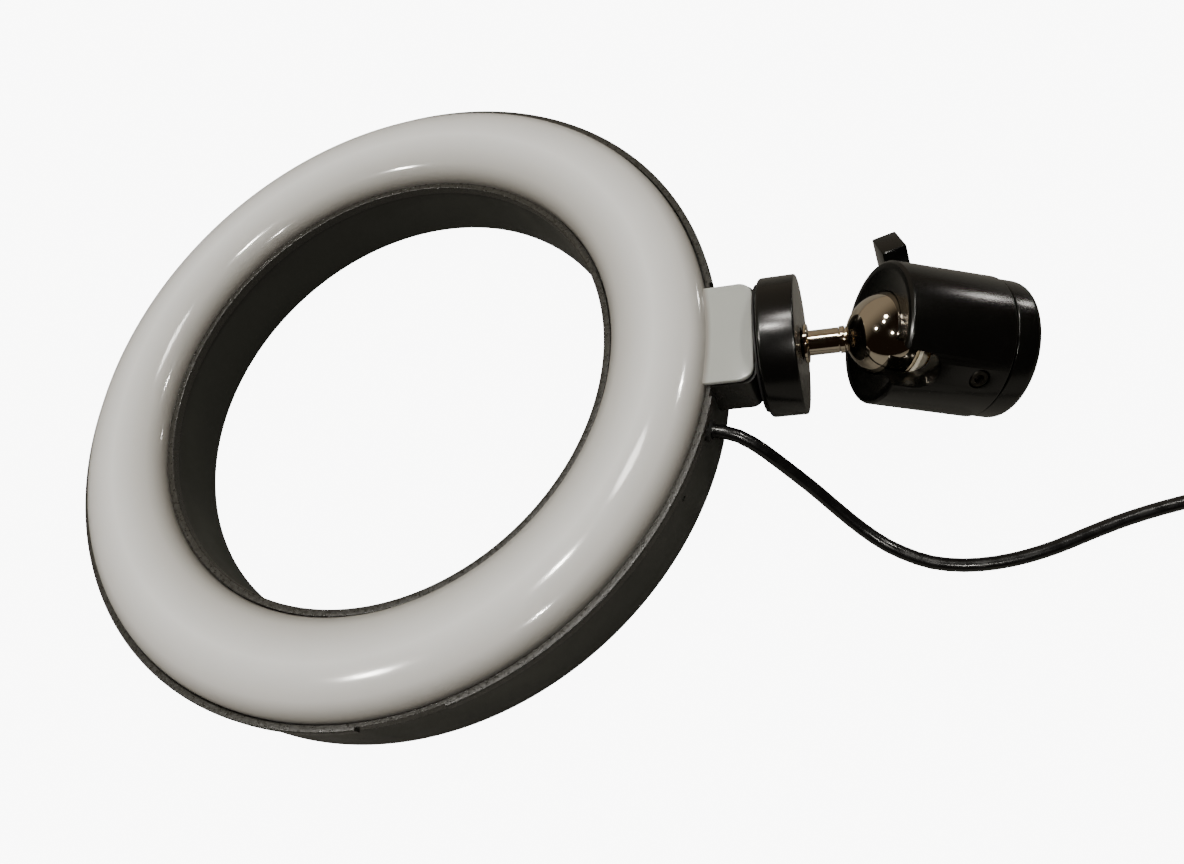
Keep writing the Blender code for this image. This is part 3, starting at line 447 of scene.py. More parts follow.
def finish_mesh(name: str, work: bmesh.types.BMesh, sharp_deg: float) -> bpy.types.Object:
    """Turn a bmesh into a smooth-shaded object in the scene.

    Args:
        name: The object's name.
        work: The bmesh, which is freed.
        sharp_deg: Edges sharper than this stay sharp.

    Returns:
        The new object.
    """
    bmesh.ops.recalc_face_normals(work, faces=work.faces)
    mesh = bpy.data.meshes.new(name)
    work.to_mesh(mesh)
    work.free()
    mesh.shade_smooth()
    mesh.set_sharp_from_angle(angle=math.radians(sharp_deg))
    made = bpy.data.objects.new(name, mesh)
    bpy.context.scene.collection.objects.link(made)
    return made


def lathe(name: str, outline: list[Point2], sides: int = 128, sharp_deg: float = 40.0) -> bpy.types.Object:
    """Turn a closed outline of (radius, height) points, in millimetres, about the local Z axis.

    Args:
        name: The object's name.
        outline: The closed outline.
        sides: How many flats the round has.
        sharp_deg: Edges sharper than this stay sharp.

    Returns:
        The turned solid.
    """
    work = bmesh.new()
    corners = [work.verts.new((r * MM, 0.0, z * MM)) for r, z in outline]
    edges = []
    for a, b in zip(corners, corners[1:] + corners[:1]):
        if max(a.co.x, b.co.x) > 1e-9:
            edges.append(work.edges.new((a, b)))
    bmesh.ops.spin(work, geom=corners + edges, axis=(0, 0, 1), cent=(0, 0, 0), steps=sides,
                   angle=2 * math.pi, use_merge=True)
    bmesh.ops.remove_doubles(work, verts=work.verts, dist=1e-7)
    bmesh.ops.delete(work, geom=[e for e in work.edges if not e.link_faces], context="EDGES")
    return finish_mesh(name, work, sharp_deg)


def slab(name: str, outline: list[Point2], low: float, high: float,
         round_mm: float = 0.0) -> bpy.types.Object:
    """Raise an outline of (x, y) points between two heights, all in millimetres.

    Args:
        name: The object's name.
        outline: The closed outline.
        low: Lower height.
        high: Upper height.
        round_mm: Rounding of the edges round both faces.

    Returns:
        The solid.
    """
    work = bmesh.new()
    face = work.faces.new([work.verts.new((x * MM, y * MM, low * MM)) for x, y in outline])
    grown = bmesh.ops.extrude_face_region(work, geom=[face])["geom"]
    lifted = [v for v in grown if isinstance(v, bmesh.types.BMVert)]
    bmesh.ops.translate(work, verts=lifted, vec=(0.0, 0.0, (high - low) * MM))
    if round_mm:
        ends = [e for e in work.edges if abs(e.verts[0].co.z - e.verts[1].co.z) < 1e-9]
        bmesh.ops.bevel(work, geom=ends, offset=round_mm * MM, segments=4, profile=0.5, affect="EDGES")
    return finish_mesh(name, work, 40.0)


def block(name: str, low: Point3, high: Point3, round_mm: float = 0.0, segments: int = 4) -> bpy.types.Object:
    """Make a box between two corners, in millimetres, with every edge rounded.

    Args:
        name: The object's name.
        low: Lowest corner.
        high: Highest corner.
        round_mm: Radius of the edges.
        segments: Stretches in each rounding.

    Returns:
        The solid.
    """
    work = bmesh.new()
    centre = (Vector(low) + Vector(high)) / 2 * MM
    size = (Vector(high) - Vector(low)) * MM
    bmesh.ops.create_cube(work, size=1.0, matrix=Matrix.Translation(centre) @ Matrix.Diagonal((*size, 1.0)))
    if round_mm:
        bmesh.ops.bevel(work, geom=work.edges[:], offset=round_mm * MM, segments=segments, profile=0.5,
                        affect="EDGES")
    return finish_mesh(name, work, 40.0)


def combine(target: bpy.types.Object, tool: bpy.types.Object, operation: str = "DIFFERENCE") -> None:
    """Cut a tool from a target or join it, and remove the tool.

    Args:
        target: The object that is changed.
        tool: The other solid, placed by its own matrix.
        operation: The Boolean's operation.
    """
    step = target.modifiers.new("combine", "BOOLEAN")
    step.operation = operation
    step.solver = "EXACT"
    step.object = tool
    bake(target)
    bpy.data.objects.remove(tool, do_unlink=True)


def soften(target: bpy.types.Object, width_mm: float, segments: int = 2, angle_deg: float = 50.0) -> None:
    """Round the edges that cutting left sharp.

    Args:
        target: The object that is changed.
        width_mm: Width of the rounding.
        segments: Its stretches.
        angle_deg: Edges sharper than this are rounded.
    """
    step = target.modifiers.new("soften", "BEVEL")
    step.width = width_mm * MM
    step.segments = segments
    step.limit_method = "ANGLE"
    step.angle_limit = math.radians(angle_deg)
    step.miter_outer = "MITER_ARC"
    bake(target)


def bake(target: bpy.types.Object) -> None:
    """Replace an object's mesh with what its modifiers make of it, shaded smooth."""
    bpy.context.view_layer.update()
    seen = target.evaluated_get(bpy.context.evaluated_depsgraph_get())
    made = bpy.data.meshes.new_from_object(seen)
    target.modifiers.clear()
    target.data = made
    made.shade_smooth()
    made.set_sharp_from_angle(angle=math.radians(40.0))


def axes_matrix(origin: Vector, along_x: Vector, along_z: Vector) -> Matrix:
    """Return the matrix with its origin at a point and its X and Z axes along two directions."""
    z = along_z.normalized()
    x = (along_x - z * along_x.dot(z)).normalized()
    turn = Matrix((x, z.cross(x), z)).transposed().to_4x4()
    return Matrix.Translation(origin) @ turn


def along(axis: Vector, offset_mm: Vector | None = None) -> Matrix:
    """Return a local place whose Z axis lies along a direction, with an offset in millimetres."""
    helper = Vector((0.0, 0.0, 1.0)) if abs(axis.z) < 0.9 else Vector((1.0, 0.0, 0.0))
    return axes_matrix((offset_mm or Vector()) * MM, helper, axis)


def rod(name: str, radius: float, low: float, high: float, place: Matrix,
        sides: int = 48) -> bpy.types.Object:
    """Make a round bar for cutting, along the Z axis of a place.

    Args:
        name: The object's name.
        radius: Its radius in millimetres.
        low: Its lower end.
        high: Its upper end.
        place: Its matrix.
        sides: How many flats the round has.

    Returns:
        The bar.
    """
    made = lathe(name, [(0.0, low), (radius, low), (radius, high), (0.0, high)], sides)
    made.matrix_world = place
    return made


def dress(piece: bpy.types.Object, *finishes: Finish) -> None:
    """Give a piece its finishes, in slot order."""
    piece.data.materials.clear()
    for finish in finishes:
        piece.data.materials.append(finish.material())


def install(piece: bpy.types.Object, body: str, nodes: list[str]) -> None:
    """Hand a finished piece over to the frame.

    Args:
        piece: The piece, in place.
        body: The body that it rides on.
        nodes: The nodes that it stands for.
    """
    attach(piece, body)
    if nodes:
        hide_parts(*nodes)
    faces = len(piece.data.polygons) if piece.type == "MESH" else 0
    LOG.info("%s rides on %s for %s, %d faces", piece.name, body, nodes, faces)


class Frames:
    """The three frames in which the pieces are made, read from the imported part's joints."""

    ball_mm: float = 113.8
    stem_z_mm: float = 11.3
    clamp_s_mm: float = 9.8

    def __init__(self, joints: list[dict]) -> None:
        """Read the frames.

        Args:
            joints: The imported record's joints.
        """
        named = {joint["name"]: joint for joint in joints}
        ball = Vector(named["swivel"]["pos_m"])
        stem = Vector(named["swivel"]["axis"]).normalized()
        head = Vector(named["pan"]["axis"]).normalized()
        clamp = Vector(named["clamp_turn"]["axis"]).normalized()
        up = stem.cross(Vector((0.0, 1.0, 0.0)))
        origin = ball - stem * self.ball_mm * MM - up * self.stem_z_mm * MM
        self.ball: Vector = ball
        self.ring: Matrix = axes_matrix(origin, stem, up)
        self.stem: Matrix = self.ring @ axes_matrix(
            Vector((0, 0, self.stem_z_mm)) * MM, Vector((0, 0, 1)), Vector((1, 0, 0)))
        self.head: Matrix = axes_matrix(ball, -clamp, head)
        self.clamp: Matrix = self.head @ axes_matrix(
            Vector((0, 0, self.clamp_s_mm)) * MM, Vector((0, 0, 1)), Vector((-1, 0, 0)))


# ------------------------------------------------------------------------------ camera and cords


@dataclass
class Viewpoint:
    """The camera, looking down at the ring with the head to its right.

    Attributes:
        place: Its place in metres.
        right: Direction of the picture's right-hand side.
        below: Direction of the picture's lower side.
        lens_mm: Focal length.
        film_mm: Width of the film.
    """

    place: Point3 = (0.0725, -0.1114, 0.2049)
    right: Point3 = (0.96778, 0.05278, -0.24617)
    below: Point3 = (-0.0639, -0.89426, -0.44294)
    lens_mm: float = 30.4
    film_mm: float = 36.0

    def build(self) -> bpy.types.Object:
        """Make the camera and return it."""
        data = bpy.data.cameras.new("camera")
        data.lens = self.lens_mm
        data.sensor_width = self.film_mm
        data.clip_start = 0.01
        made = bpy.data.objects.new("camera", data)
        bpy.context.scene.collection.objects.link(made)
        back = -Vector(self.right).cross(Vector(self.below))
        made.matrix_world = axes_matrix(Vector(self.place), Vector(self.right), back)
        bpy.context.scene.camera = made
        return made


def smooth_route(route: list[Point3], spacing: float) -> list[Vector]:
    """Return points at even spacing on a smooth curve through a route.

    Args:
        route: The route's own points in millimetres.
        spacing: Distance between the new points.

    Returns:
        The new points in millimetres.
    """
    points = [Vector(p) for p in route]
    points = [points[0] * 2 - points[1], *points, points[-1] * 2 - points[-2]]
    fine: list[Vector] = []
    for a, b, c, d in zip(points, points[1:], points[2:], points[3:]):
        for step in range(12):
            t = step / 12
            fine.append(0.5 * (2 * b + (c - a) * t + (2 * a - 5 * b + 4 * c - d) * t ** 2
                               + (3 * b - a - 3 * c + d) * t ** 3))
    fine.append(points[-2])
    lengths = [0.0]
    for a, b in zip(fine, fine[1:]):
        lengths.append(lengths[-1] + (b - a).length)
    count = max(2, round(lengths[-1] / spacing))
    picked: list[Vector] = []
    index = 0
    for step in range(count + 1):
        target = lengths[-1] * step / count
        while index < len(fine) - 2 and lengths[index + 1] < target:
            index += 1
        share = (target - lengths[index]) / max(lengths[index + 1] - lengths[index], 1e-9)
        picked.append(fine[index].lerp(fine[index + 1], share))
    return picked


def cord_curve(name: str, points: list[Vector], radius: float) -> bpy.types.Object:
    """Make a round cord with closed ends.

    Args:
        name: The cord's name.
        points: Its centreline in millimetres.
        radius: Its radius in millimetres.

    Returns:
        The curve object.
    """
    curve = bpy.data.curves.new(name, "CURVE")
    curve.dimensions = "3D"
    curve.bevel_depth = radius * MM
    curve.bevel_resolution = 5
    curve.use_fill_caps = True
    line = curve.splines.new("POLY")
    line.points.add(len(points) - 1)
    for spot, point in zip(line.points, points):
        spot.co = (*(point * MM), 1.0)
    line.use_smooth = True
    made = bpy.data.objects.new(name, curve)
    bpy.context.scene.collection.objects.link(made)
    return made


@dataclass
class Coil:
    """The wound part of the cable, laid turn by turn in its bundle.

    Attributes:
        centre: Centre of the coil on the table.
        mean_r: Radius at the middle of the bundle.
        pitch: Distance between neighbouring turns.
        floor_z: Height of the lowest turn's centre.
        enter_deg: Azimuth at which the cable joins the coil.
        turned_deg: How far it winds.
    """

    centre: Point2 = (168.0, -2.0)
    mean_r: float = 16.3
    pitch: float = 2.8
    floor_z: float = 2.3
    enter_deg: float = -76.7
    turned_deg: float = 9 * 360 + 106.7
    step_deg: float = 7.5

    def slots(self) -> list[Point2]:
        """Return each turn's place in the bundle: inwards below, outwards above, the last two on top."""
        columns = [1.5, 0.5, -0.5, -1.5]
        low = [(c, 0) for c in columns]
        middle = [(c, 1) for c in reversed(columns)]
        top = [(0.5, 2), (1.5, 2)]
        places = low + middle + top
        return [(self.mean_r + c * self.pitch, self.floor_z + row * self.pitch) for c, row in places]

    def points(self) -> list[Vector]:
        """Return the centreline of the turns."""
        slots = self.slots()
        made: list[Vector] = []
        count = round(self.turned_deg / self.step_deg)
        for index in range(count + 1):
            turned = self.turned_deg * index / count
            turn = min(int(turned // 360), len(slots) - 1)
            along_turn = turned / 360 - turn
            change = max(0.0, (along_turn - 0.86) / 0.14)
            change = change * change * (3 - 2 * change)
            here = Vector(slots[turn])
            after = Vector(slots[min(turn + 1, len(slots) - 1)])
            place = here.lerp(after, change)
            hump = self.pitch * 0.5 * math.sin(math.pi * change) if turn == len(slots) - 2 else 0.0
            loose = 0.12 * math.sin(math.radians(turned) * 0.73 + turn)
            azimuth = math.radians(self.enter_deg + turned)
            radius = place.x + loose
            made.append(Vector((self.centre[0] + radius * math.cos(azimuth),
                                self.centre[1] + radius * math.sin(azimuth), place.y + hump)))
        return made


@dataclass
class Cables:
    """The two free cords: from the ring through the coil to the inline control, and on to the plug."""

    radius: float = 1.4
    coil: Coil = field(default_factory=Coil)
    lead: tuple[Point3, ...] = (
        (37.4, -17.0, 23.0), (42.2, -18.3, 23.3), (47.1, -19.5, 23.6), (51.2, -20.6, 23.5),
        (55.1, -22.3, 21.7), (58.7, -24.2, 18.6), (62.4, -26.2, 14.9), (66.1, -28.3, 11.2),
        (69.8, -30.8, 7.7), (73.6, -33.5, 4.8), (77.4, -36.1, 2.8), (81.4, -38.5, 1.8),
        (87.4, -41.1, 1.5), (93.5, -42.1, 1.5), (99.5, -41.9, 1.5), (105.6, -40.8, 1.5),
        (111.8, -38.9, 1.5), (118.0, -36.4, 1.5), (124.2, -34.0, 1.5), (130.2, -32.1, 1.5),
        (135.6, -30.7, 1.5), (140.9, -29.4, 1.5), (147.7, -27.8, 1.7), (154.5, -26.2, 2.0),
        (161.3, -24.6, 2.4),
    )
    link: tuple[Point3, ...] = (
        (179.9, 18.4, 6.8), (178.0, 21.8, 5.9), (176.3, 25.4, 5.3), (175.5, 28.3, 5.2), (175.5, 29.7, 5.2),
        (175.5, 35.0, 5.2), (175.5, 40.0, 5.2), (175.5, 44.0, 5.2),
    )
    tail: tuple[Point3, ...] = (
        (175.5, 88.0, 5.2), (175.5, 95.0, 5.2), (175.5, 102.3, 5.2), (175.5, 105.0, 5.1),
        (177.0, 110.1, 4.4), (181.1, 114.2, 3.2),
        (186.7, 115.8, 2.1), (192.4, 114.2, 1.6), (196.5, 110.1, 1.5), (198.0, 104.5, 1.5),
        (198.3, 96.0, 1.5), (197.8, 84.0, 1.5), (197.0, 70.0, 1.5), (196.7, 56.0, 1.5),
        (196.9, 42.0, 1.5), (197.4, 28.0, 1.5), (197.8, 14.0, 1.5), (198.0, 2.0, 1.6),
        (198.0, -8.0, 2.2), (198.0, -16.0, 3.1), (198.0, -24.0, 4.0), (198.0, -28.3, 4.1),
    )
    exit: Point3 = (46.9, -19.5, 23.5)

    def build(self, on_lead: list[bpy.types.Object], on_tail: list[bpy.types.Object]) -> None:
        """Args:
            on_lead: The pieces on the first cord: its tie and the inline control. Not used.
            on_tail: The pieces on the second cord: the plug's. Not used.
        """
        route = [*smooth_route(list(self.lead), 3.0), *self.coil.points(),
                 *smooth_route(list(self.link), 3.0)]
        lead = cord_curve("cable", route, self.radius)
        dress(lead, JACKET)
        install(lead, "root", ["cable_lead", "cable_coil", "cable_link"])
        route = smooth_route(list(self.tail), 3.0)
        tail = cord_curve("tail_cable", route, self.radius)
        dress(tail, JACKET)
        install(tail, "root", ["cable_tail"])


# --------------------------------------------------------------------------------------- the ring


@dataclass
class RingHousing:
    """The shallow channel with its rim, its rim window and the mounting block."""

    wall_r: float = 79.3
    rim_r: float = 80.0
    bore_r: float = 55.8
    rim_bore_r: float = 54.9
    rim_z: float = 18.1
    ledge_z: float = 15.8
    lip_z: float = 16.0
    floor_z: float = 1.6
    skirt_r: tuple[float, float] = (56.5, 78.45)
    wall: float = 1.9
    window_deg: tuple[float, float] = (-84.0, -70.0)
    mount_deg: tuple[float, float] = (-10.0, 10.0)
    block_half: float = 11.85
    block_end: float = 87.8
    block_low: float = 5.8
    sides: int = 288

    def build(self, frames: Frames) -> bpy.types.Object:
        """Make the housing.

        Args:
            frames: The part's frames.

        Returns:
            The housing, installed.
        """
        inner, outer = self.skirt_r
        points = [
            (self.wall_r, 0.0), (self.wall_r, self.lip_z), (self.rim_r, self.lip_z), (self.rim_r, self.rim_z),
            (outer, self.rim_z), (outer, self.ledge_z), (self.wall_r - self.wall, self.ledge_z),
            (self.wall_r - self.wall, self.floor_z), (self.bore_r + self.wall, self.floor_z),
            (self.bore_r + self.wall, self.ledge_z), (inner, self.ledge_z), (inner, self.rim_z),
            (self.rim_bore_r, self.rim_z), (self.rim_bore_r, self.lip_z), (self.bore_r, self.lip_z),
            (self.bore_r, 0.0),
        ]
        radii = {0: 0.7, 2: 0.2, 3: 0.35, 4: 0.15, 11: 0.15, 12: 0.35, 13: 0.2, 15: 0.7}
        shell = lathe("housing", rounded(points, radii), self.sides)
        combine(shell, self.rim_cutter(self.window_deg))
        combine(shell, self.rim_cutter(self.mount_deg))
        combine(shell, self.mount_block(), "UNION")
        bore = along(Vector((1.0, 0.0, 0.0)), Vector((0.0, 0.0, frames.stem_z_mm)))
        combine(shell, rod("stud_bore", 4.6, 79.9, 90.0, bore))
        for name, azimuth, height, radius in (
                ("cable_bore", -14.0, 13.4, 2.25), ("pinhole", -25.0, 12.6, 0.6)):
            turn = math.radians(azimuth)
            outward = Vector((math.cos(turn), math.sin(turn), 0.0))
            combine(shell, rod(name, radius, 75.0, 85.0, along(outward, Vector((0.0, 0.0, height)))))
        self.split_finish(shell)
        shell.matrix_world = frames.ring
        install(shell, "root", ["back_shell"])
        return shell

    def rim_cutter(self, azimuths: tuple[float, float]) -> bpy.types.Object:
        """Return the tool that takes the rim's overhang away between two azimuths."""
        start, end = azimuths
        outline = arc((0.0, 0.0), self.rim_r + 2.0, start, end, 12)
        outline += arc((0.0, 0.0), self.wall_r - 0.02, end, start, 12)
        return slab("rim_cutter", outline, self.lip_z - 0.8, self.rim_z + 1.0)

    def mount_block(self) -> bpy.types.Object:
        """Return the mounting block with its rounded corners, clear of the diffuser's skirt."""
        low = (self.wall_r - 1.6, -self.block_half, self.block_low)
        high = (self.block_end, self.block_half, self.rim_z)
        work = bmesh.new()
        centre = (Vector(low) + Vector(high)) / 2 * MM
        size = (Vector(high) - Vector(low)) * MM
        bmesh.ops.create_cube(
            work, size=1.0, matrix=Matrix.Translation(centre) @ Matrix.Diagonal((*size, 1.0)))
        upright, below, above = [], [], []
        for edge in work.edges:
            a, b = edge.verts[0].co, edge.verts[1].co
            middle = (a + b) / 2
            if abs(a.z - b.z) > 1e-6:
                upright += [edge] if middle.x > centre.x else []
            elif abs(a.x - b.x) > 1e-6 or middle.x > centre.x:
                (below if middle.z < centre.z else above).append(edge)
        bmesh.ops.bevel(work, geom=upright + below, offset=2.6 * MM, segments=8, profile=0.5, affect="EDGES")
        made = finish_mesh("mount_block", work, 40.0)
        combine(made, rod("skirt_room", self.skirt_r[1] + 0.2, self.ledge_z, self.rim_z + 1.0,
                          Matrix.Identity(4), self.sides))
        return made

    def split_finish(self, shell: bpy.types.Object) -> None:
        """Give the rim its eroded grain, the block its gloss and the rest its satin."""
        dress(shell, HOUSING, RIM, BLOCK)
        for face in shell.data.polygons:
            centre = face.center / MM
            radius = math.hypot(centre.x, centre.y)
            if (centre.x > self.wall_r - 1.0 and abs(centre.y) < self.block_half + 0.2
                    and radius > self.wall_r):
                face.material_index = 2
            elif centre.z > self.lip_z - 0.05 and (radius > self.skirt_r[1] or radius < self.skirt_r[0]):
                face.material_index = 1


@dataclass
class Diffuser:
    """The bulging opal cover and the flat tab that lies over the mounting block."""

    inner_r: float = 56.8
    outer_r: float = 78.15
    low_z: float = 16.1
    rim_z: float = 18.1
    height: float = 5.5
    thick: float = 1.6
    tab_half: float = 11.6
    tab_end: float = 87.4
    tab_z: tuple[float, float] = (18.4, 19.6)
    tab_corner: float = 3.0
    sides: int = 288

    def build(self, frames: Frames) -> bpy.types.Object:
        """Make the cover.

        Args:
            frames: The part's frames.

        Returns:
            The cover, installed.
        """
        middle = (self.inner_r + self.outer_r) / 2
        half = (self.outer_r - self.inner_r) / 2
        outline = [(self.outer_r, self.low_z)] + self.bulge(middle, half, self.height, 28)
        outline += [(self.inner_r, self.low_z), (self.inner_r + self.thick, self.low_z)]
        outline += self.bulge(middle, half - self.thick, self.height - self.thick, 14)[::-1]
        outline += [(self.outer_r - self.thick, self.low_z)]
        cover = lathe("diffuser_cover", outline, self.sides)
        combine(cover, self.tab(), "UNION")
        dress(cover, OPAL)
        cover.matrix_world = frames.ring
        install(cover, "root", ["diffuser"])
        return cover

    def bulge(self, middle: float, half: float, height: float, steps: int) -> list[Point2]:
        """Return the half-oval section from its outer edge over the top to its inner edge."""
        turns = [math.pi * i / steps for i in range(steps + 1)]
        return [(middle + half * math.cos(a), self.rim_z + height * math.sin(a)) for a in turns]

    def tab(self) -> bpy.types.Object:
        """Return the tab with its round corners and its bevelled upper edge."""
        start = self.outer_r - 1.2
        corner = self.tab_corner
        outline: list[Point2] = [(start, -self.tab_half)]
        outline += arc((self.tab_end - corner, corner - self.tab_half), corner, -90, 0, 10)
        outline += arc((self.tab_end - corner, self.tab_half - corner), corner, 0, 90, 10)
        outline += [(start, self.tab_half)]
        return slab("tab", outline, *self.tab_z, 0.3)


# ------------------------------------------------------------------------------ stem and lock disc


@dataclass
class StemParts:
    """What is turned about the stem: the ball stem, the loose neck ring, the lock disc and its washer."""

    stud_r: float = 3.15
    stem_r: float = 2.65
    flange_r: float = 4.15
    flange_x: float = 96.9
    neck_x: float = 103.9
    neck_length: float = 1.4
    ball_x: float = 113.8
    ball_r: float = 8.65
    disc_x: float = 88.8
    disc_thick: float = 7.6
    disc_r: float = 14.7

    def build(self, frames: Frames) -> None:
        """Make the four pieces.

        Args:
            frames: The part's frames.
        """
        self.ball_stem(frames)
        self.neck_ring(frames)
        self.disc(frames)
        self.washer(frames)

    def ball_stem(self, frames: Frames) -> None:
        """Make the stud with its thread, the flange, the stem and the ball."""
        outline: list[Point2] = [(0.0, 80.6), (2.6, 80.6)]
        thread = 81.2
        while thread < 95.6:
            outline += [(2.75, thread), (self.stud_r, thread + 0.45),
                        (self.stud_r, thread + 0.6), (2.75, thread + 1.05)]
            thread += 1.27
        outline += [(2.75, 96.2), (2.9, self.flange_x)]
        outline += [(self.flange_r - 0.15, self.flange_x), (self.flange_r, self.flange_x + 0.15)]
        outline += [(self.flange_r, self.flange_x + 0.5)]
        outline += arc((self.flange_r - 0.3, self.flange_x + 0.5), 0.3, 0, 90, 4)
        outline += [(self.stem_r + 0.2, self.flange_x + 0.8), (self.stem_r, self.flange_x + 1.0)]
        outline += [(self.stem_r, self.neck_x), (2.1, self.neck_x)]
        outline += [(2.1, self.neck_x + self.neck_length), (self.stem_r, self.neck_x + self.neck_length)]
        root = math.degrees(math.asin(self.stem_r / self.ball_r))
        outline += [(x, y) for x, y in arc((0.0, self.ball_x), self.ball_r, root - 90.0, 90.0, 56)]
        outline[-1] = (0.0, self.ball_x + self.ball_r)
        made = lathe("stem_with_ball", outline, 160, 30.0)
        dress(made, NICKEL)
        made.matrix_world = frames.stem
        install(made, "root", ["ball_stem"])

    def neck_ring(self, frames: Frames) -> None:
        """Make the loose wear ring at the ball's neck."""
        low, high = self.neck_x + 0.15, self.neck_x + self.neck_length - 0.15
        outline = rounded([(2.85, low), (2.85, high), (2.3, high), (2.3, low)], {0: 0.12, 1: 0.12}, 3)
        made = lathe("wear_ring", outline, 96)
        dress(made, NICKEL)
        made.matrix_world = frames.stem
        install(made, "neck", ["neck_ring"])

    def disc(self, frames: Frames) -> None:
        """Make the lock disc with its turned chamfers."""
        near, far = self.disc_x, self.disc_x + self.disc_thick
        points = [(3.45, near), (self.disc_r, near), (self.disc_r, far), (3.45, far)]
        outline = rounded(points, {0: 0.3, 1: 0.9, 2: 0.45, 3: 0.3}, 6)
        made = lathe("jam_disc", outline, 224)
        dress(made, ANODISED)
        made.matrix_world = frames.stem
        install(made, "disc", ["lock_disc"])

    def washer(self, frames: Frames) -> None:
        """Make the thin washer under the disc."""
        points = [(3.45, 88.05), (13.5, 88.05), (13.5, 88.55), (3.45, 88.55)]
        made = lathe("thin_washer", rounded(points, {1: 0.15, 2: 0.15}, 3), 128)
        dress(made, RUBBER)
        made.matrix_world = frames.stem
        install(made, "root", ["disc_washer"])


# -------------------------------------------------------------------------------------- ball head


@dataclass
class BallHead:
    """The head's body with its dish and notch, the base with its socket, and the grub screw."""

    body_r: float = 14.65
    bore_r: float = 8.95
    seat_r: float = 8.85
    rim_s: float = -2.8
    groove_s: float = 19.4
    cap_bore: Point2 = (12.2, 16.1)
    base_s: float = 19.8
    end_s: float = 25.3
    base_r: float = 14.3
    notch_half: float = 4.0
    notch_s: float = 5.4
    clamp_s: float = 9.8
    grub_s: float = 13.8
    socket_r: float = 3.2

    def build(self, frames: Frames) -> None:
        """Make the head's pieces.

        Args:
            frames: The part's frames.
        """
        self.body(frames)
        self.base(frames)
        self.socket(frames)
        self.grub_screw(frames)

    def body(self, frames: Frames) -> None:
        """Make the body, cut its notch and its screw holes, and break the cut edges."""
        bore_r, bore_s = self.cap_bore
        lip = arc((0.0, 0.0), self.seat_r, -13.1, -0.3, 6)
        outer = [(13.0, self.rim_s), (14.15, self.rim_s), (self.body_r, self.rim_s + 0.5)]
        outer = rounded([(9.4, -2.0), *outer, (self.body_r, self.rim_s + 3.0)],
                        {1: 0.25, 2: 0.15, 3: 0.15}, 3)[:-1]
        foot = rounded([(self.body_r, self.rim_s + 3.0), (self.body_r, self.groove_s),
                        (bore_r, self.groove_s)],
                       {1: 0.35}, 4)[1:]
        outline = [*lip[::-1], *outer, *foot, (bore_r, bore_s), (self.bore_r, bore_s), (self.bore_r, 0.2)]
        made = lathe("head_body", outline, 192)
        centre = self.notch_s - self.notch_half
        slot: list[Point2] = [(self.rim_s - 2.0, self.notch_half), (self.rim_s - 2.0, -self.notch_half)]
        slot += arc((centre, 0.0), self.notch_half, -90, 90, 32)
        cutter = slab("notch_cutter", slot, 5.0, 20.0)
        cutter.matrix_world = axes_matrix(Vector(), Vector((0.0, 0.0, 1.0)), Vector((1.0, 0.0, 0.0)))
        combine(made, cutter)
        combine(made, rod("clamp_hole", 2.65, 6.0, 18.0,
                          along(Vector((-1, 0, 0)), Vector((0, 0, self.clamp_s)))))
        combine(made, rod("grub_hole", 2.1, 6.0, 18.0, along(Vector((1, 0, 0)), Vector((0, 0, self.grub_s)))))
        soften(made, 0.18)
        dress(made, ANODISED)
        made.matrix_world = frames.head
        install(made, "head", ["head_housing"])

    def base(self, frames: Frames) -> None:
        """Make the screwed base with its rounded end edge."""
        bore = 5.8
        inside = self.cap_bore[1] + 0.3
        plug_r = self.cap_bore[0] - 0.3
        points = [(bore, inside), (plug_r, inside), (plug_r, self.base_s), (self.base_r, self.base_s),
                  (self.base_r, self.end_s), (bore, self.end_s)]
        outline = rounded(points, {3: 0.3, 4: 1.7, 5: 0.3}, 8)
        made = lathe("head_base", outline, 192)
        dress(made, ANODISED)
        made.matrix_world = frames.head
        install(made, "head", ["base_cap"])

    def socket(self, frames: Frames) -> None:
        """Make the brass socket with the ridges of its thread."""
        low, high = self.cap_bore[1] + 0.3, self.end_s - 0.3
        outline: list[Point2] = [(5.5, low), (5.5, high - 0.3), (5.2, high), (self.socket_r + 0.35, high)]
        ridge = high - 0.5
        while ridge > low + 1.4:
            outline += [(self.socket_r + 0.3, ridge), (self.socket_r, ridge - 0.55),
                        (self.socket_r, ridge - 0.7), (self.socket_r + 0.3, ridge - 1.25)]
            ridge -= 1.27
        outline += [(self.socket_r + 0.3, low)]
        made = lathe("thread_socket", outline, 72, 30.0)
        dress(made, BRASS)
        made.matrix_world = frames.head
        install(made, "head", ["tripod_socket"])

    def grub_screw(self, frames: Frames) -> None:
        """Make the grub screw with its hexagon socket."""
        points = [(0.0, 7.8), (1.4, 7.8), (1.85, 8.25), (1.85, 14.3), (1.65, 14.5), (0.0, 14.5)]
        made = lathe("hex_grub", points, 48)
        key = [(1.05 * math.cos(math.radians(60 * i)), 1.05 * math.sin(math.radians(60 * i)))
               for i in range(6)]
        combine(made, slab("hex_key", key, 12.9, 15.5))
        soften(made, 0.06)
        dress(made, BLACKENED)
        made.matrix_world = frames.head @ along(Vector((1, 0, 0)), Vector((0, 0, self.grub_s)))
        install(made, "head", ["grub_screw"])


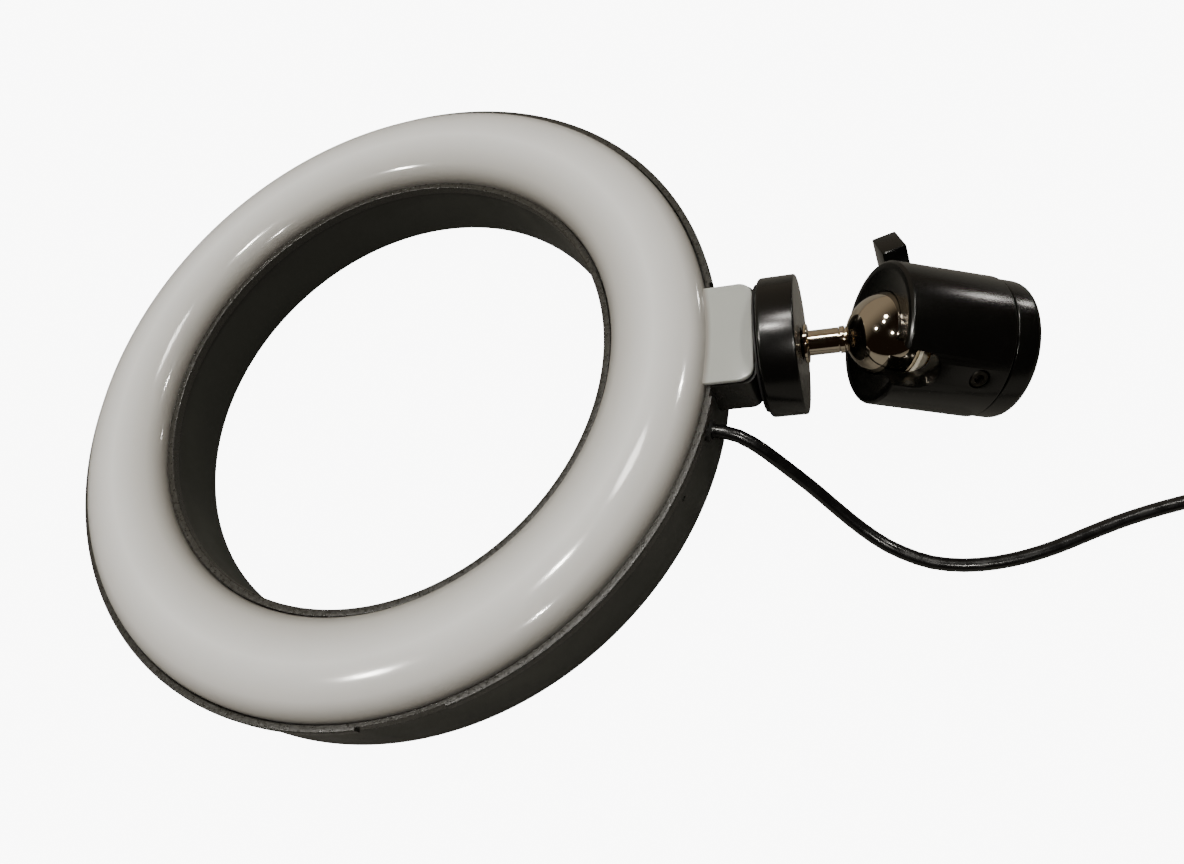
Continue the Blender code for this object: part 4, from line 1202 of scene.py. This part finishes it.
@dataclass
class ClampLever:
    """The clamp screw and the square lever on it."""

    near: float = 15.1
    thick: float = 7.4
    width: float = 5.2
    reach: float = 14.7
    turn_deg: float = -122.3
    hub_r: float = 4.7

    def build(self, frames: Frames) -> None:
        """Make the screw and the lever.

        Args:
            frames: The part's frames.
        """
        far = self.near + self.thick
        points = [(2.65, self.near), (self.hub_r, self.near), (self.hub_r, far), (3.6, far), (3.6, far - 3.5),
                  (2.65, far - 3.5)]
        made = lathe("lever", rounded(points, {1: 0.35, 2: 0.35, 3: 0.2}, 4), 96)
        low = (self.hub_r - 1.6, -self.width / 2, self.near)
        high = (self.reach, self.width / 2, far)
        bar = block("lever_arm", low, high, 0.35, 3)
        combine(made, bar, "UNION")
        dress(made, ANODISED)
        made.matrix_world = frames.clamp @ Matrix.Rotation(math.radians(self.turn_deg), 4, "Z")
        install(made, "clamp", ["clamp_lever"])
        self.screw(frames, far)

    def screw(self, frames: Frames, far: float) -> None:
        """Make the clamp screw with its thread and its hexagon socket.

        Args:
            frames: The part's frames.
            far: Where the lever's outer face is along the clamp axis.
        """
        outline: list[Point2] = [(0.0, 7.2), (1.0, 7.2), (1.5, 8.9), (2.1, 9.3)]
        ridge = 9.5
        while ridge < 14.4:
            outline += [(2.1, ridge), (2.35, ridge + 0.3), (2.35, ridge + 0.4), (2.1, ridge + 0.7)]
            ridge += 0.8
        outline += [(2.35, 15.2), (2.35, far - 3.2), (3.3, far - 3.2), (3.3, far - 0.4),
                    (3.0, far - 0.1), (0.0, far - 0.1)]
        made = lathe("clamp_screw_threaded", outline, 72)
        key = [(1.7 * math.cos(math.radians(60 * i)), 1.7 * math.sin(math.radians(60 * i))) for i in range(6)]
        combine(made, slab("hex_key", key, far - 2.2, far + 1.0))
        soften(made, 0.08)
        dress(made, ZINC)
        made.matrix_world = frames.clamp
        install(made, "clamp", ["clamp_screw"])


# -------------------------------------------------------------------------- what is on the cords


@dataclass
class CoilTie:
    """The flat band that holds the coil together."""

    centre: Point2 = (151.7, -2.0)
    half: Point2 = (5.9, 4.5)
    middle_z: float = 5.1
    width: float = 4.0
    thick: float = 0.5

    def build(self) -> bpy.types.Object:
        """Make the band and its catch, and return it."""
        outer = rounded_rectangle(self.half[0] + self.thick, self.half[1] + self.thick, 2.0)
        inner = rounded_rectangle(self.half[0], self.half[1], 1.5)
        made = slab("cable_tie", outer, -self.width / 2, self.width / 2, 0.12)
        combine(made, slab("tie_room", inner, -self.width, self.width))
        catch = block("tie_catch",
                      (-self.half[0] + 1.5, self.half[1] + self.thick - 0.2, -self.width / 2 - 0.4),
                      (-self.half[0] + 6.0, self.half[1] + self.thick + 0.6, self.width / 2 + 0.4), 0.25)
        combine(made, catch, "UNION")
        dress(made, CONTROL)
        turn = Matrix.Rotation(math.radians(90.0), 4, "X")
        made.matrix_world = Matrix.Translation(Vector((*self.centre, self.middle_z)) * MM) @ turn
        install(made, "root", ["coil_tie"])
        return made


def rounded_rectangle(half_x: float, half_y: float, radius: float, steps: int = 8) -> list[Point2]:
    """Return the outline of a rectangle about the origin with round corners."""
    outline: list[Point2] = []
    for quarter, (sx, sy) in enumerate(((1, 1), (-1, 1), (-1, -1), (1, -1))):
        centre = (sx * (half_x - radius), sy * (half_y - radius))
        outline += arc(centre, radius, 90 * quarter, 90 * quarter + 90, steps)
    return outline


class ButtonSign(Enum):
    """The raised mark on a button's cap."""

    DOT = "dot"
    RING = "ring"
    PLUS = "plus"
    MINUS = "minus"


@dataclass
class InlineControl:
    """The inline control on the cable: base, cover and four buttons."""

    x: float = 175.5
    y: Point2 = (40.0, 92.0)
    half_width: float = 9.0
    split_z: float = 4.6
    top_z: float = 10.0
    gap: float = 0.3
    wall: float = 1.3
    buttons: tuple[tuple[str, str, float, ButtonSign], ...] = (
        ("button_power", "power", -13.5, ButtonSign.RING),
        ("button_colour", "colour", -4.5, ButtonSign.DOT),
        ("button_brighter", "brighter", 4.5, ButtonSign.PLUS),
        ("button_dimmer", "dimmer", 13.5, ButtonSign.MINUS),
    )

    def build(self) -> list[bpy.types.Object]:
        """Make the control and return its pieces."""
        middle = (self.y[0] + self.y[1]) / 2
        half = (self.y[1] - self.y[0]) / 2
        place = Matrix.Translation(Vector((self.x, middle, 0.0)) * MM)
        outline = rounded_rectangle(self.half_width, half, 4.0)
        inside = rounded_rectangle(self.half_width - self.wall, half - self.wall, 2.7)
        base = slab("control_tray", outline, 0.2, self.split_z, 0.35)
        combine(base, slab("tray_room", inside, 1.5, self.split_z + 1.0))
        cover = slab("control_lid", outline, self.split_z + self.gap, self.top_z, 0.9)
        combine(cover, slab("lid_room", inside, self.split_z - 1.0, self.top_z - self.wall))
        for part in (base, cover):
            combine(part, rod("cord_hole", 1.6, -half - 1.0, half + 1.0,
                              along(Vector((0, 1, 0)), Vector((0, 0, 5.2)))))
        for screw_y in (-19.5, 19.5):
            combine(base, rod("screw_hole", 1.9, -1.0, 3.0,
                              Matrix.Translation(Vector((0.0, screw_y, 0.0)) * MM)))
        for _, _, button_y, _ in self.buttons:
            combine(cover, rod("button_hole", 3.3, 7.0, 12.0,
                               Matrix.Translation(Vector((0.0, button_y, 0.0)) * MM), 64))
        made = [base, cover]
        for piece, node in ((base, "control_base"), (cover, "control_cover")):
            dress(piece, CONTROL)
            piece.matrix_world = place
            install(piece, "root", [node])
        made += [self.button(place, *button) for button in self.buttons]
        made.append(strain_relief("relief_in", (self.x, self.y[0] - self.gap, 5.2), -1, "control_relief_in"))
        made.append(strain_relief("relief_out", (self.x, self.y[1] + self.gap, 5.2), 1, "control_relief_out"))
        return made

    def button(self, place: Matrix, node: str, body: str, y: float, sign: ButtonSign) -> bpy.types.Object:
        """Make one button with its dished cap and its raised mark.

        Args:
            place: The control's place.
            node: The node that the button stands for.
            body: The body that it rides on.
            y: Its place along the control.
            sign: Its mark.

        Returns:
            The button.
        """
        top = self.top_z + 0.9
        points = [(0.0, 5.4), (1.2, 5.4), (1.2, self.top_z - 2.4), (3.6, self.top_z - 2.4),
                  (3.6, self.top_z - 1.6),
                  (3.0, self.top_z - 1.6), (3.0, top), (0.0, top - 0.25)]
        made = lathe(f"{sign.value}_button", rounded(points, {6: 0.45}, 5), 64)
        for mark in self.marks(sign, top):
            combine(made, mark, "UNION")
        dress(made, SILICONE)
        made.matrix_world = place @ Matrix.Translation(Vector((0.0, y, 0.0)) * MM)
        install(made, body, [node])
        return made

    def marks(self, sign: ButtonSign, top: float) -> list[bpy.types.Object]:
        """Return the raised shapes of one mark."""
        low, high = top - 0.4, top - 0.02
        bar = block("mark", (-1.2, -0.25, low), (1.2, 0.25, high), 0.05, 2)
        if sign is ButtonSign.MINUS:
            return [bar]
        if sign is ButtonSign.PLUS:
            return [bar, block("mark", (-0.25, -1.2, low), (0.25, 1.2, high), 0.05, 2)]
        bpy.data.objects.remove(bar, do_unlink=True)
        inner = 0.0 if sign is ButtonSign.DOT else 0.75
        return [lathe("mark", [(1.15, low), (1.15, high), (inner, high), (inner, low)], 40)]


def strain_relief(name: str, place: Point3, facing: int, node: str) -> bpy.types.Object:
    """Make a tapered strain relief with its ribs.

    Args:
        name: The piece's name.
        place: Centre of its wide end in millimetres.
        facing: One to point it along +Y, minus one along -Y.
        node: The node that it stands for.

    Returns:
        The relief.
    """
    length = 9.7
    outline: list[Point2] = [(1.45, 0.0), (2.75, 0.0), (2.9, 0.15), (2.9, 1.0)]
    for rib in range(5):
        start = 1.4 + rib * 1.5
        radius = 2.8 - rib * 0.17
        outline += [(radius - 0.35, start), (radius - 0.35, start + 0.5),
                    (radius, start + 0.65), (radius - 0.05, start + 1.35)]
    outline += [(1.95, length - 0.6), (1.9, length - 0.1), (1.8, length), (1.45, length)]
    made = lathe(name, outline, 48, 35.0)
    dress(made, RUBBER)
    made.matrix_world = axes_matrix(Vector(place) * MM, Vector((1, 0, 0)), Vector((0, facing, 0)))
    install(made, "root", [node])
    return made


@dataclass
class Plug:
    """The plug: ribbed grip, pressed steel shell and the tongue with its contacts."""

    x: float = 198.0
    z: float = 4.1
    start_y: float = -28.0
    grip_half: Point2 = (6.6, 3.8)
    grip_length: float = 20.0
    shell_half: Point2 = (6.0, 2.25)
    shell_length: float = 18.2
    sheet: float = 0.4

    def build(self) -> list[bpy.types.Object]:
        """Make the plug and return its pieces."""
        back = self.start_y - 10.6
        front = back - self.grip_length
        tip = front - self.shell_length
        return [strain_relief("plug_boot", (self.x, self.start_y - 10.3, self.z), 1, "plug_relief"),
                self.grip(back, front), self.shell(front, tip), self.tongue(front, tip)]

    def grip(self, back: float, front: float) -> bpy.types.Object:
        """Make the moulded grip with grooves across both faces."""
        half_x, half_z = self.grip_half
        made = block("plug_body", (self.x - half_x, front, self.z - half_z),
                     (self.x + half_x, back, self.z + half_z), 0.9)
        for groove in range(5):
            y = back - 5.0 - groove * 2.0
            for side in (-1, 1):
                z = self.z + side * half_z
                combine(made, block("groove", (self.x - 4.6, y - 0.4, z - 0.35),
                                    (self.x + 4.6, y + 0.4, z + 0.35), 0.15, 2))
        dress(made, CONTROL)
        install(made, "root", ["plug_grip"])
        return made

    def shell(self, front: float, tip: float) -> bpy.types.Object:
        """Make the pressed shell with its square windows."""
        half_x, half_z = self.shell_half
        made = block("plug_sleeve", (self.x - half_x, tip, self.z - half_z),
                     (self.x + half_x, front - 0.3, self.z + half_z), 0.35)
        inside = block("sleeve_room", (self.x - half_x + self.sheet, tip - 2.0, self.z - half_z + self.sheet),
                       (self.x + half_x - self.sheet, front - 1.2, self.z + half_z - self.sheet), 0.15)
        combine(made, inside)
        for window_x in (self.x - 2.6, self.x + 2.6):
            combine(made, block("window", (window_x - 1.1, tip + 7.0, self.z - 5.0),
                                (window_x + 1.1, tip + 9.2, self.z + 5.0)))
        dress(made, ZINC)
        install(made, "root", ["plug_shell"])
        return made

    def tongue(self, front: float, tip: float) -> bpy.types.Object:
        """Make the tongue with its four gold contacts."""
        half_x = self.shell_half[0] - self.sheet - 0.3
        low, high = self.z - 0.15, self.z + 1.55
        made = block("plug_insert", (self.x - half_x, tip + 0.5, low),
                     (self.x + half_x, front - 1.5, high), 0.1)
        for index in range(4):
            centre = self.x - 3.6 + 2.4 * index
            contact = block("contact", (centre - 0.6, tip + 1.6, low - 0.1),
                            (centre + 0.6, front - 4.0, low + 0.2), 0.05)
            combine(made, contact, "UNION")
        dress(made, CONTROL, BRASS)
        for face in made.data.polygons:
            if face.center.z / MM < low - 0.01:
                face.material_index = 1
        install(made, "root", ["plug_tongue"])
        return made


# ----------------------------------------------------------------------- nodes that stay as they are


@dataclass(frozen=True)
class KeptNodes:
    """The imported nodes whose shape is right, with the finish of each."""

    finishes: tuple[tuple[Finish, tuple[str, ...]], ...] = (
        (MASK, ("led_board", "control_board")),
        (ZINC, ("board_screw_1", "board_screw_2", "board_screw_3", "board_screw_4", "clamp_pusher",
                "control_screw_1", "control_screw_2")),
        (BRASS, ("mount_insert", "pressure_block")),
        (NYLON, ("friction_cup",)),
        (RUBBER, ("cable_grommet",)),
        (JACKET, ("board_lead",)),
    )

    def build(self) -> list[bpy.types.Object]:
        """Dress the nodes and return those on the cords."""
        for finish, names in self.finishes:
            for name in names:
                dress(frame["nodes"][name], finish)
                LOG.info("%s keeps its shape, finish %s", name, finish.name)
        return [frame["nodes"][name] for name in ("control_board", "control_screw_1", "control_screw_2")]


# --------------------------------------------------------------------------------- floor and light


@dataclass(frozen=True)
class Lamp:
    """One round lamp, placed by its direction from the ball.

    Attributes:
        azimuth: Direction in degrees from +X towards +Y.
        elevation: Height above the horizon in degrees.
        distance: Metres from the ball.
        size: Diameter in metres.
        power: Watts.
        colour: Colour as an sRGB hex value.
    """

    azimuth: float
    elevation: float
    distance: float
    size: float
    power: float
    colour: str = "FFFBF4"

    def build(self, name: str, target: Vector) -> None:
        """Make the lamp, aimed at the target."""
        data = bpy.data.lights.new(name, "AREA")
        data.shape = "DISK"
        data.size = self.size
        data.energy = self.power
        data.color = to_linear(self.colour)[:3]
        made = bpy.data.objects.new(name, data)
        bpy.context.scene.collection.objects.link(made)
        turn, rise = math.radians(self.azimuth), math.radians(self.elevation)
        away = Vector((math.cos(rise) * math.cos(turn), math.cos(rise) * math.sin(turn), math.sin(rise)))
        made.matrix_world = axes_matrix(target + away * self.distance, Vector((1.0, 0.1, 0.0)), away)


@dataclass
class Studio:
    """The pale table, the room's light and the lamps.

    Attributes:
        lamps: The small lamps and the one soft one.
        room_dark: Colour of the room's dim side as an sRGB hex value.
        room_light: Colour of its bright side as an sRGB hex value.
        room_strength: How strongly the room lights the part.
        table: Colour of the table as an sRGB hex value.
        table_glow: How bright table and room look to the camera's own rays. The part is not lit by it.
    """

    lamps: tuple[Lamp, ...] = (
        Lamp(-163.5, 54.0, 1.1, 0.06, 4.0),
        Lamp(167.0, 77.0, 1.2, 0.07, 4.0),
        Lamp(-78.0, 60.0, 1.2, 0.06, 4.5),
        Lamp(40.0, 56.0, 1.2, 0.07, 4.5),
        Lamp(44.0, 12.0, 1.4, 0.10, 1.5),
        Lamp(110.0, 72.0, 2.2, 0.30, 9.0),
    )
    room_dark: str = "2C2118"
    room_light: str = "DCCDB6"
    room_strength: float = 0.42
    table: str = "77756F"
    table_glow: float = 9.0

    def build(self, frames: Frames) -> None:
        """Make the table, the room's light and the lamps.

        Args:
            frames: The part's frames.
        """
        for index, lamp in enumerate(self.lamps):
            lamp.build(f"lamp_{index}", frames.ball)
        world = bpy.data.worlds.new("room")
        world.use_nodes = True
        tree = world.node_tree
        place = add_node(tree, "ShaderNodeTexCoord")
        split = add_node(tree, "ShaderNodeSeparateXYZ", inputs={"Vector": place.outputs["Generated"]})
        lean = add_node(tree, "ShaderNodeMath", {"operation": "MULTIPLY_ADD"}, {
            0: split.outputs["X"], 1: -0.7, 2: split.outputs["Y"]})
        side = add_node(tree, "ShaderNodeMapRange", {"interpolation_type": "SMOOTHSTEP"}, {
            "Value": lean.outputs[0], "From Min": 0.1, "From Max": 1.0})
        walls = add_node(tree, "ShaderNodeMix", {"data_type": "RGBA"}, {
            0: side.outputs["Result"], 6: to_linear(self.room_dark), 7: to_linear(self.room_light)})
        back = tree.nodes["Background"]
        tree.links.new(walls.outputs[2], back.inputs["Color"])
        back.inputs["Strength"].default_value = self.room_strength
        pale = add_node(tree, "ShaderNodeBackground", inputs={
            "Color": to_linear("FFFFFF"), "Strength": self.table_glow})
        seen = add_node(tree, "ShaderNodeLightPath")
        both = add_node(tree, "ShaderNodeMixShader", inputs={
            0: seen.outputs["Is Camera Ray"], 1: back.outputs["Background"], 2: pale.outputs["Background"]})
        tree.links.new(both.outputs["Shader"], tree.nodes["World Output"].inputs["Surface"])
        bpy.context.scene.world = world
        self.table_top()

    def table_top(self) -> None:
        """Make the table, which looks pale from above and shows soft shadows."""
        mesh = bpy.data.meshes.new("table")
        reach = 3.0
        mesh.from_pydata([(-reach, -reach, 0), (reach, -reach, 0), (reach, reach, 0), (-reach, reach, 0)],
                         [], [(0, 1, 2, 3)])
        made = bpy.data.objects.new("table", mesh)
        bpy.context.scene.collection.objects.link(made)
        paper = bpy.data.materials.new("table_paper")
        paper.use_nodes = True
        tree = paper.node_tree
        shader = tree.nodes["Principled BSDF"]
        shader.inputs["Base Color"].default_value = to_linear(self.table)
        shader.inputs["Roughness"].default_value = 0.8
        glow = add_node(tree, "ShaderNodeEmission", inputs={
            "Color": to_linear("FFFFFF"), "Strength": self.table_glow})
        both = add_node(tree, "ShaderNodeAddShader", inputs={
            0: shader.outputs["BSDF"], 1: glow.outputs["Emission"]})
        seen = add_node(tree, "ShaderNodeLightPath")
        mixed = add_node(tree, "ShaderNodeMixShader", inputs={
            0: seen.outputs["Is Camera Ray"], 1: shader.outputs["BSDF"], 2: both.outputs["Shader"]})
        tree.links.new(mixed.outputs["Shader"], tree.nodes["Material Output"].inputs["Surface"])
        mesh.materials.append(paper)


def main() -> None:
    """Build the ring light in order and report each piece."""
    logging.basicConfig(level=logging.INFO, format="%(name)s: %(message)s")
    frames = Frames(frame["joints"])
    Viewpoint().build()
    kept_on_cord = KeptNodes().build()
    Cables().build([CoilTie().build(), *InlineControl().build(), *kept_on_cord], Plug().build())
    RingHousing().build(frames)
    Diffuser().build(frames)
    StemParts().build(frames)
    BallHead().build(frames)
    ClampLever().build(frames)
    Studio().build(frames)


if __name__ == "__main__":
    main()
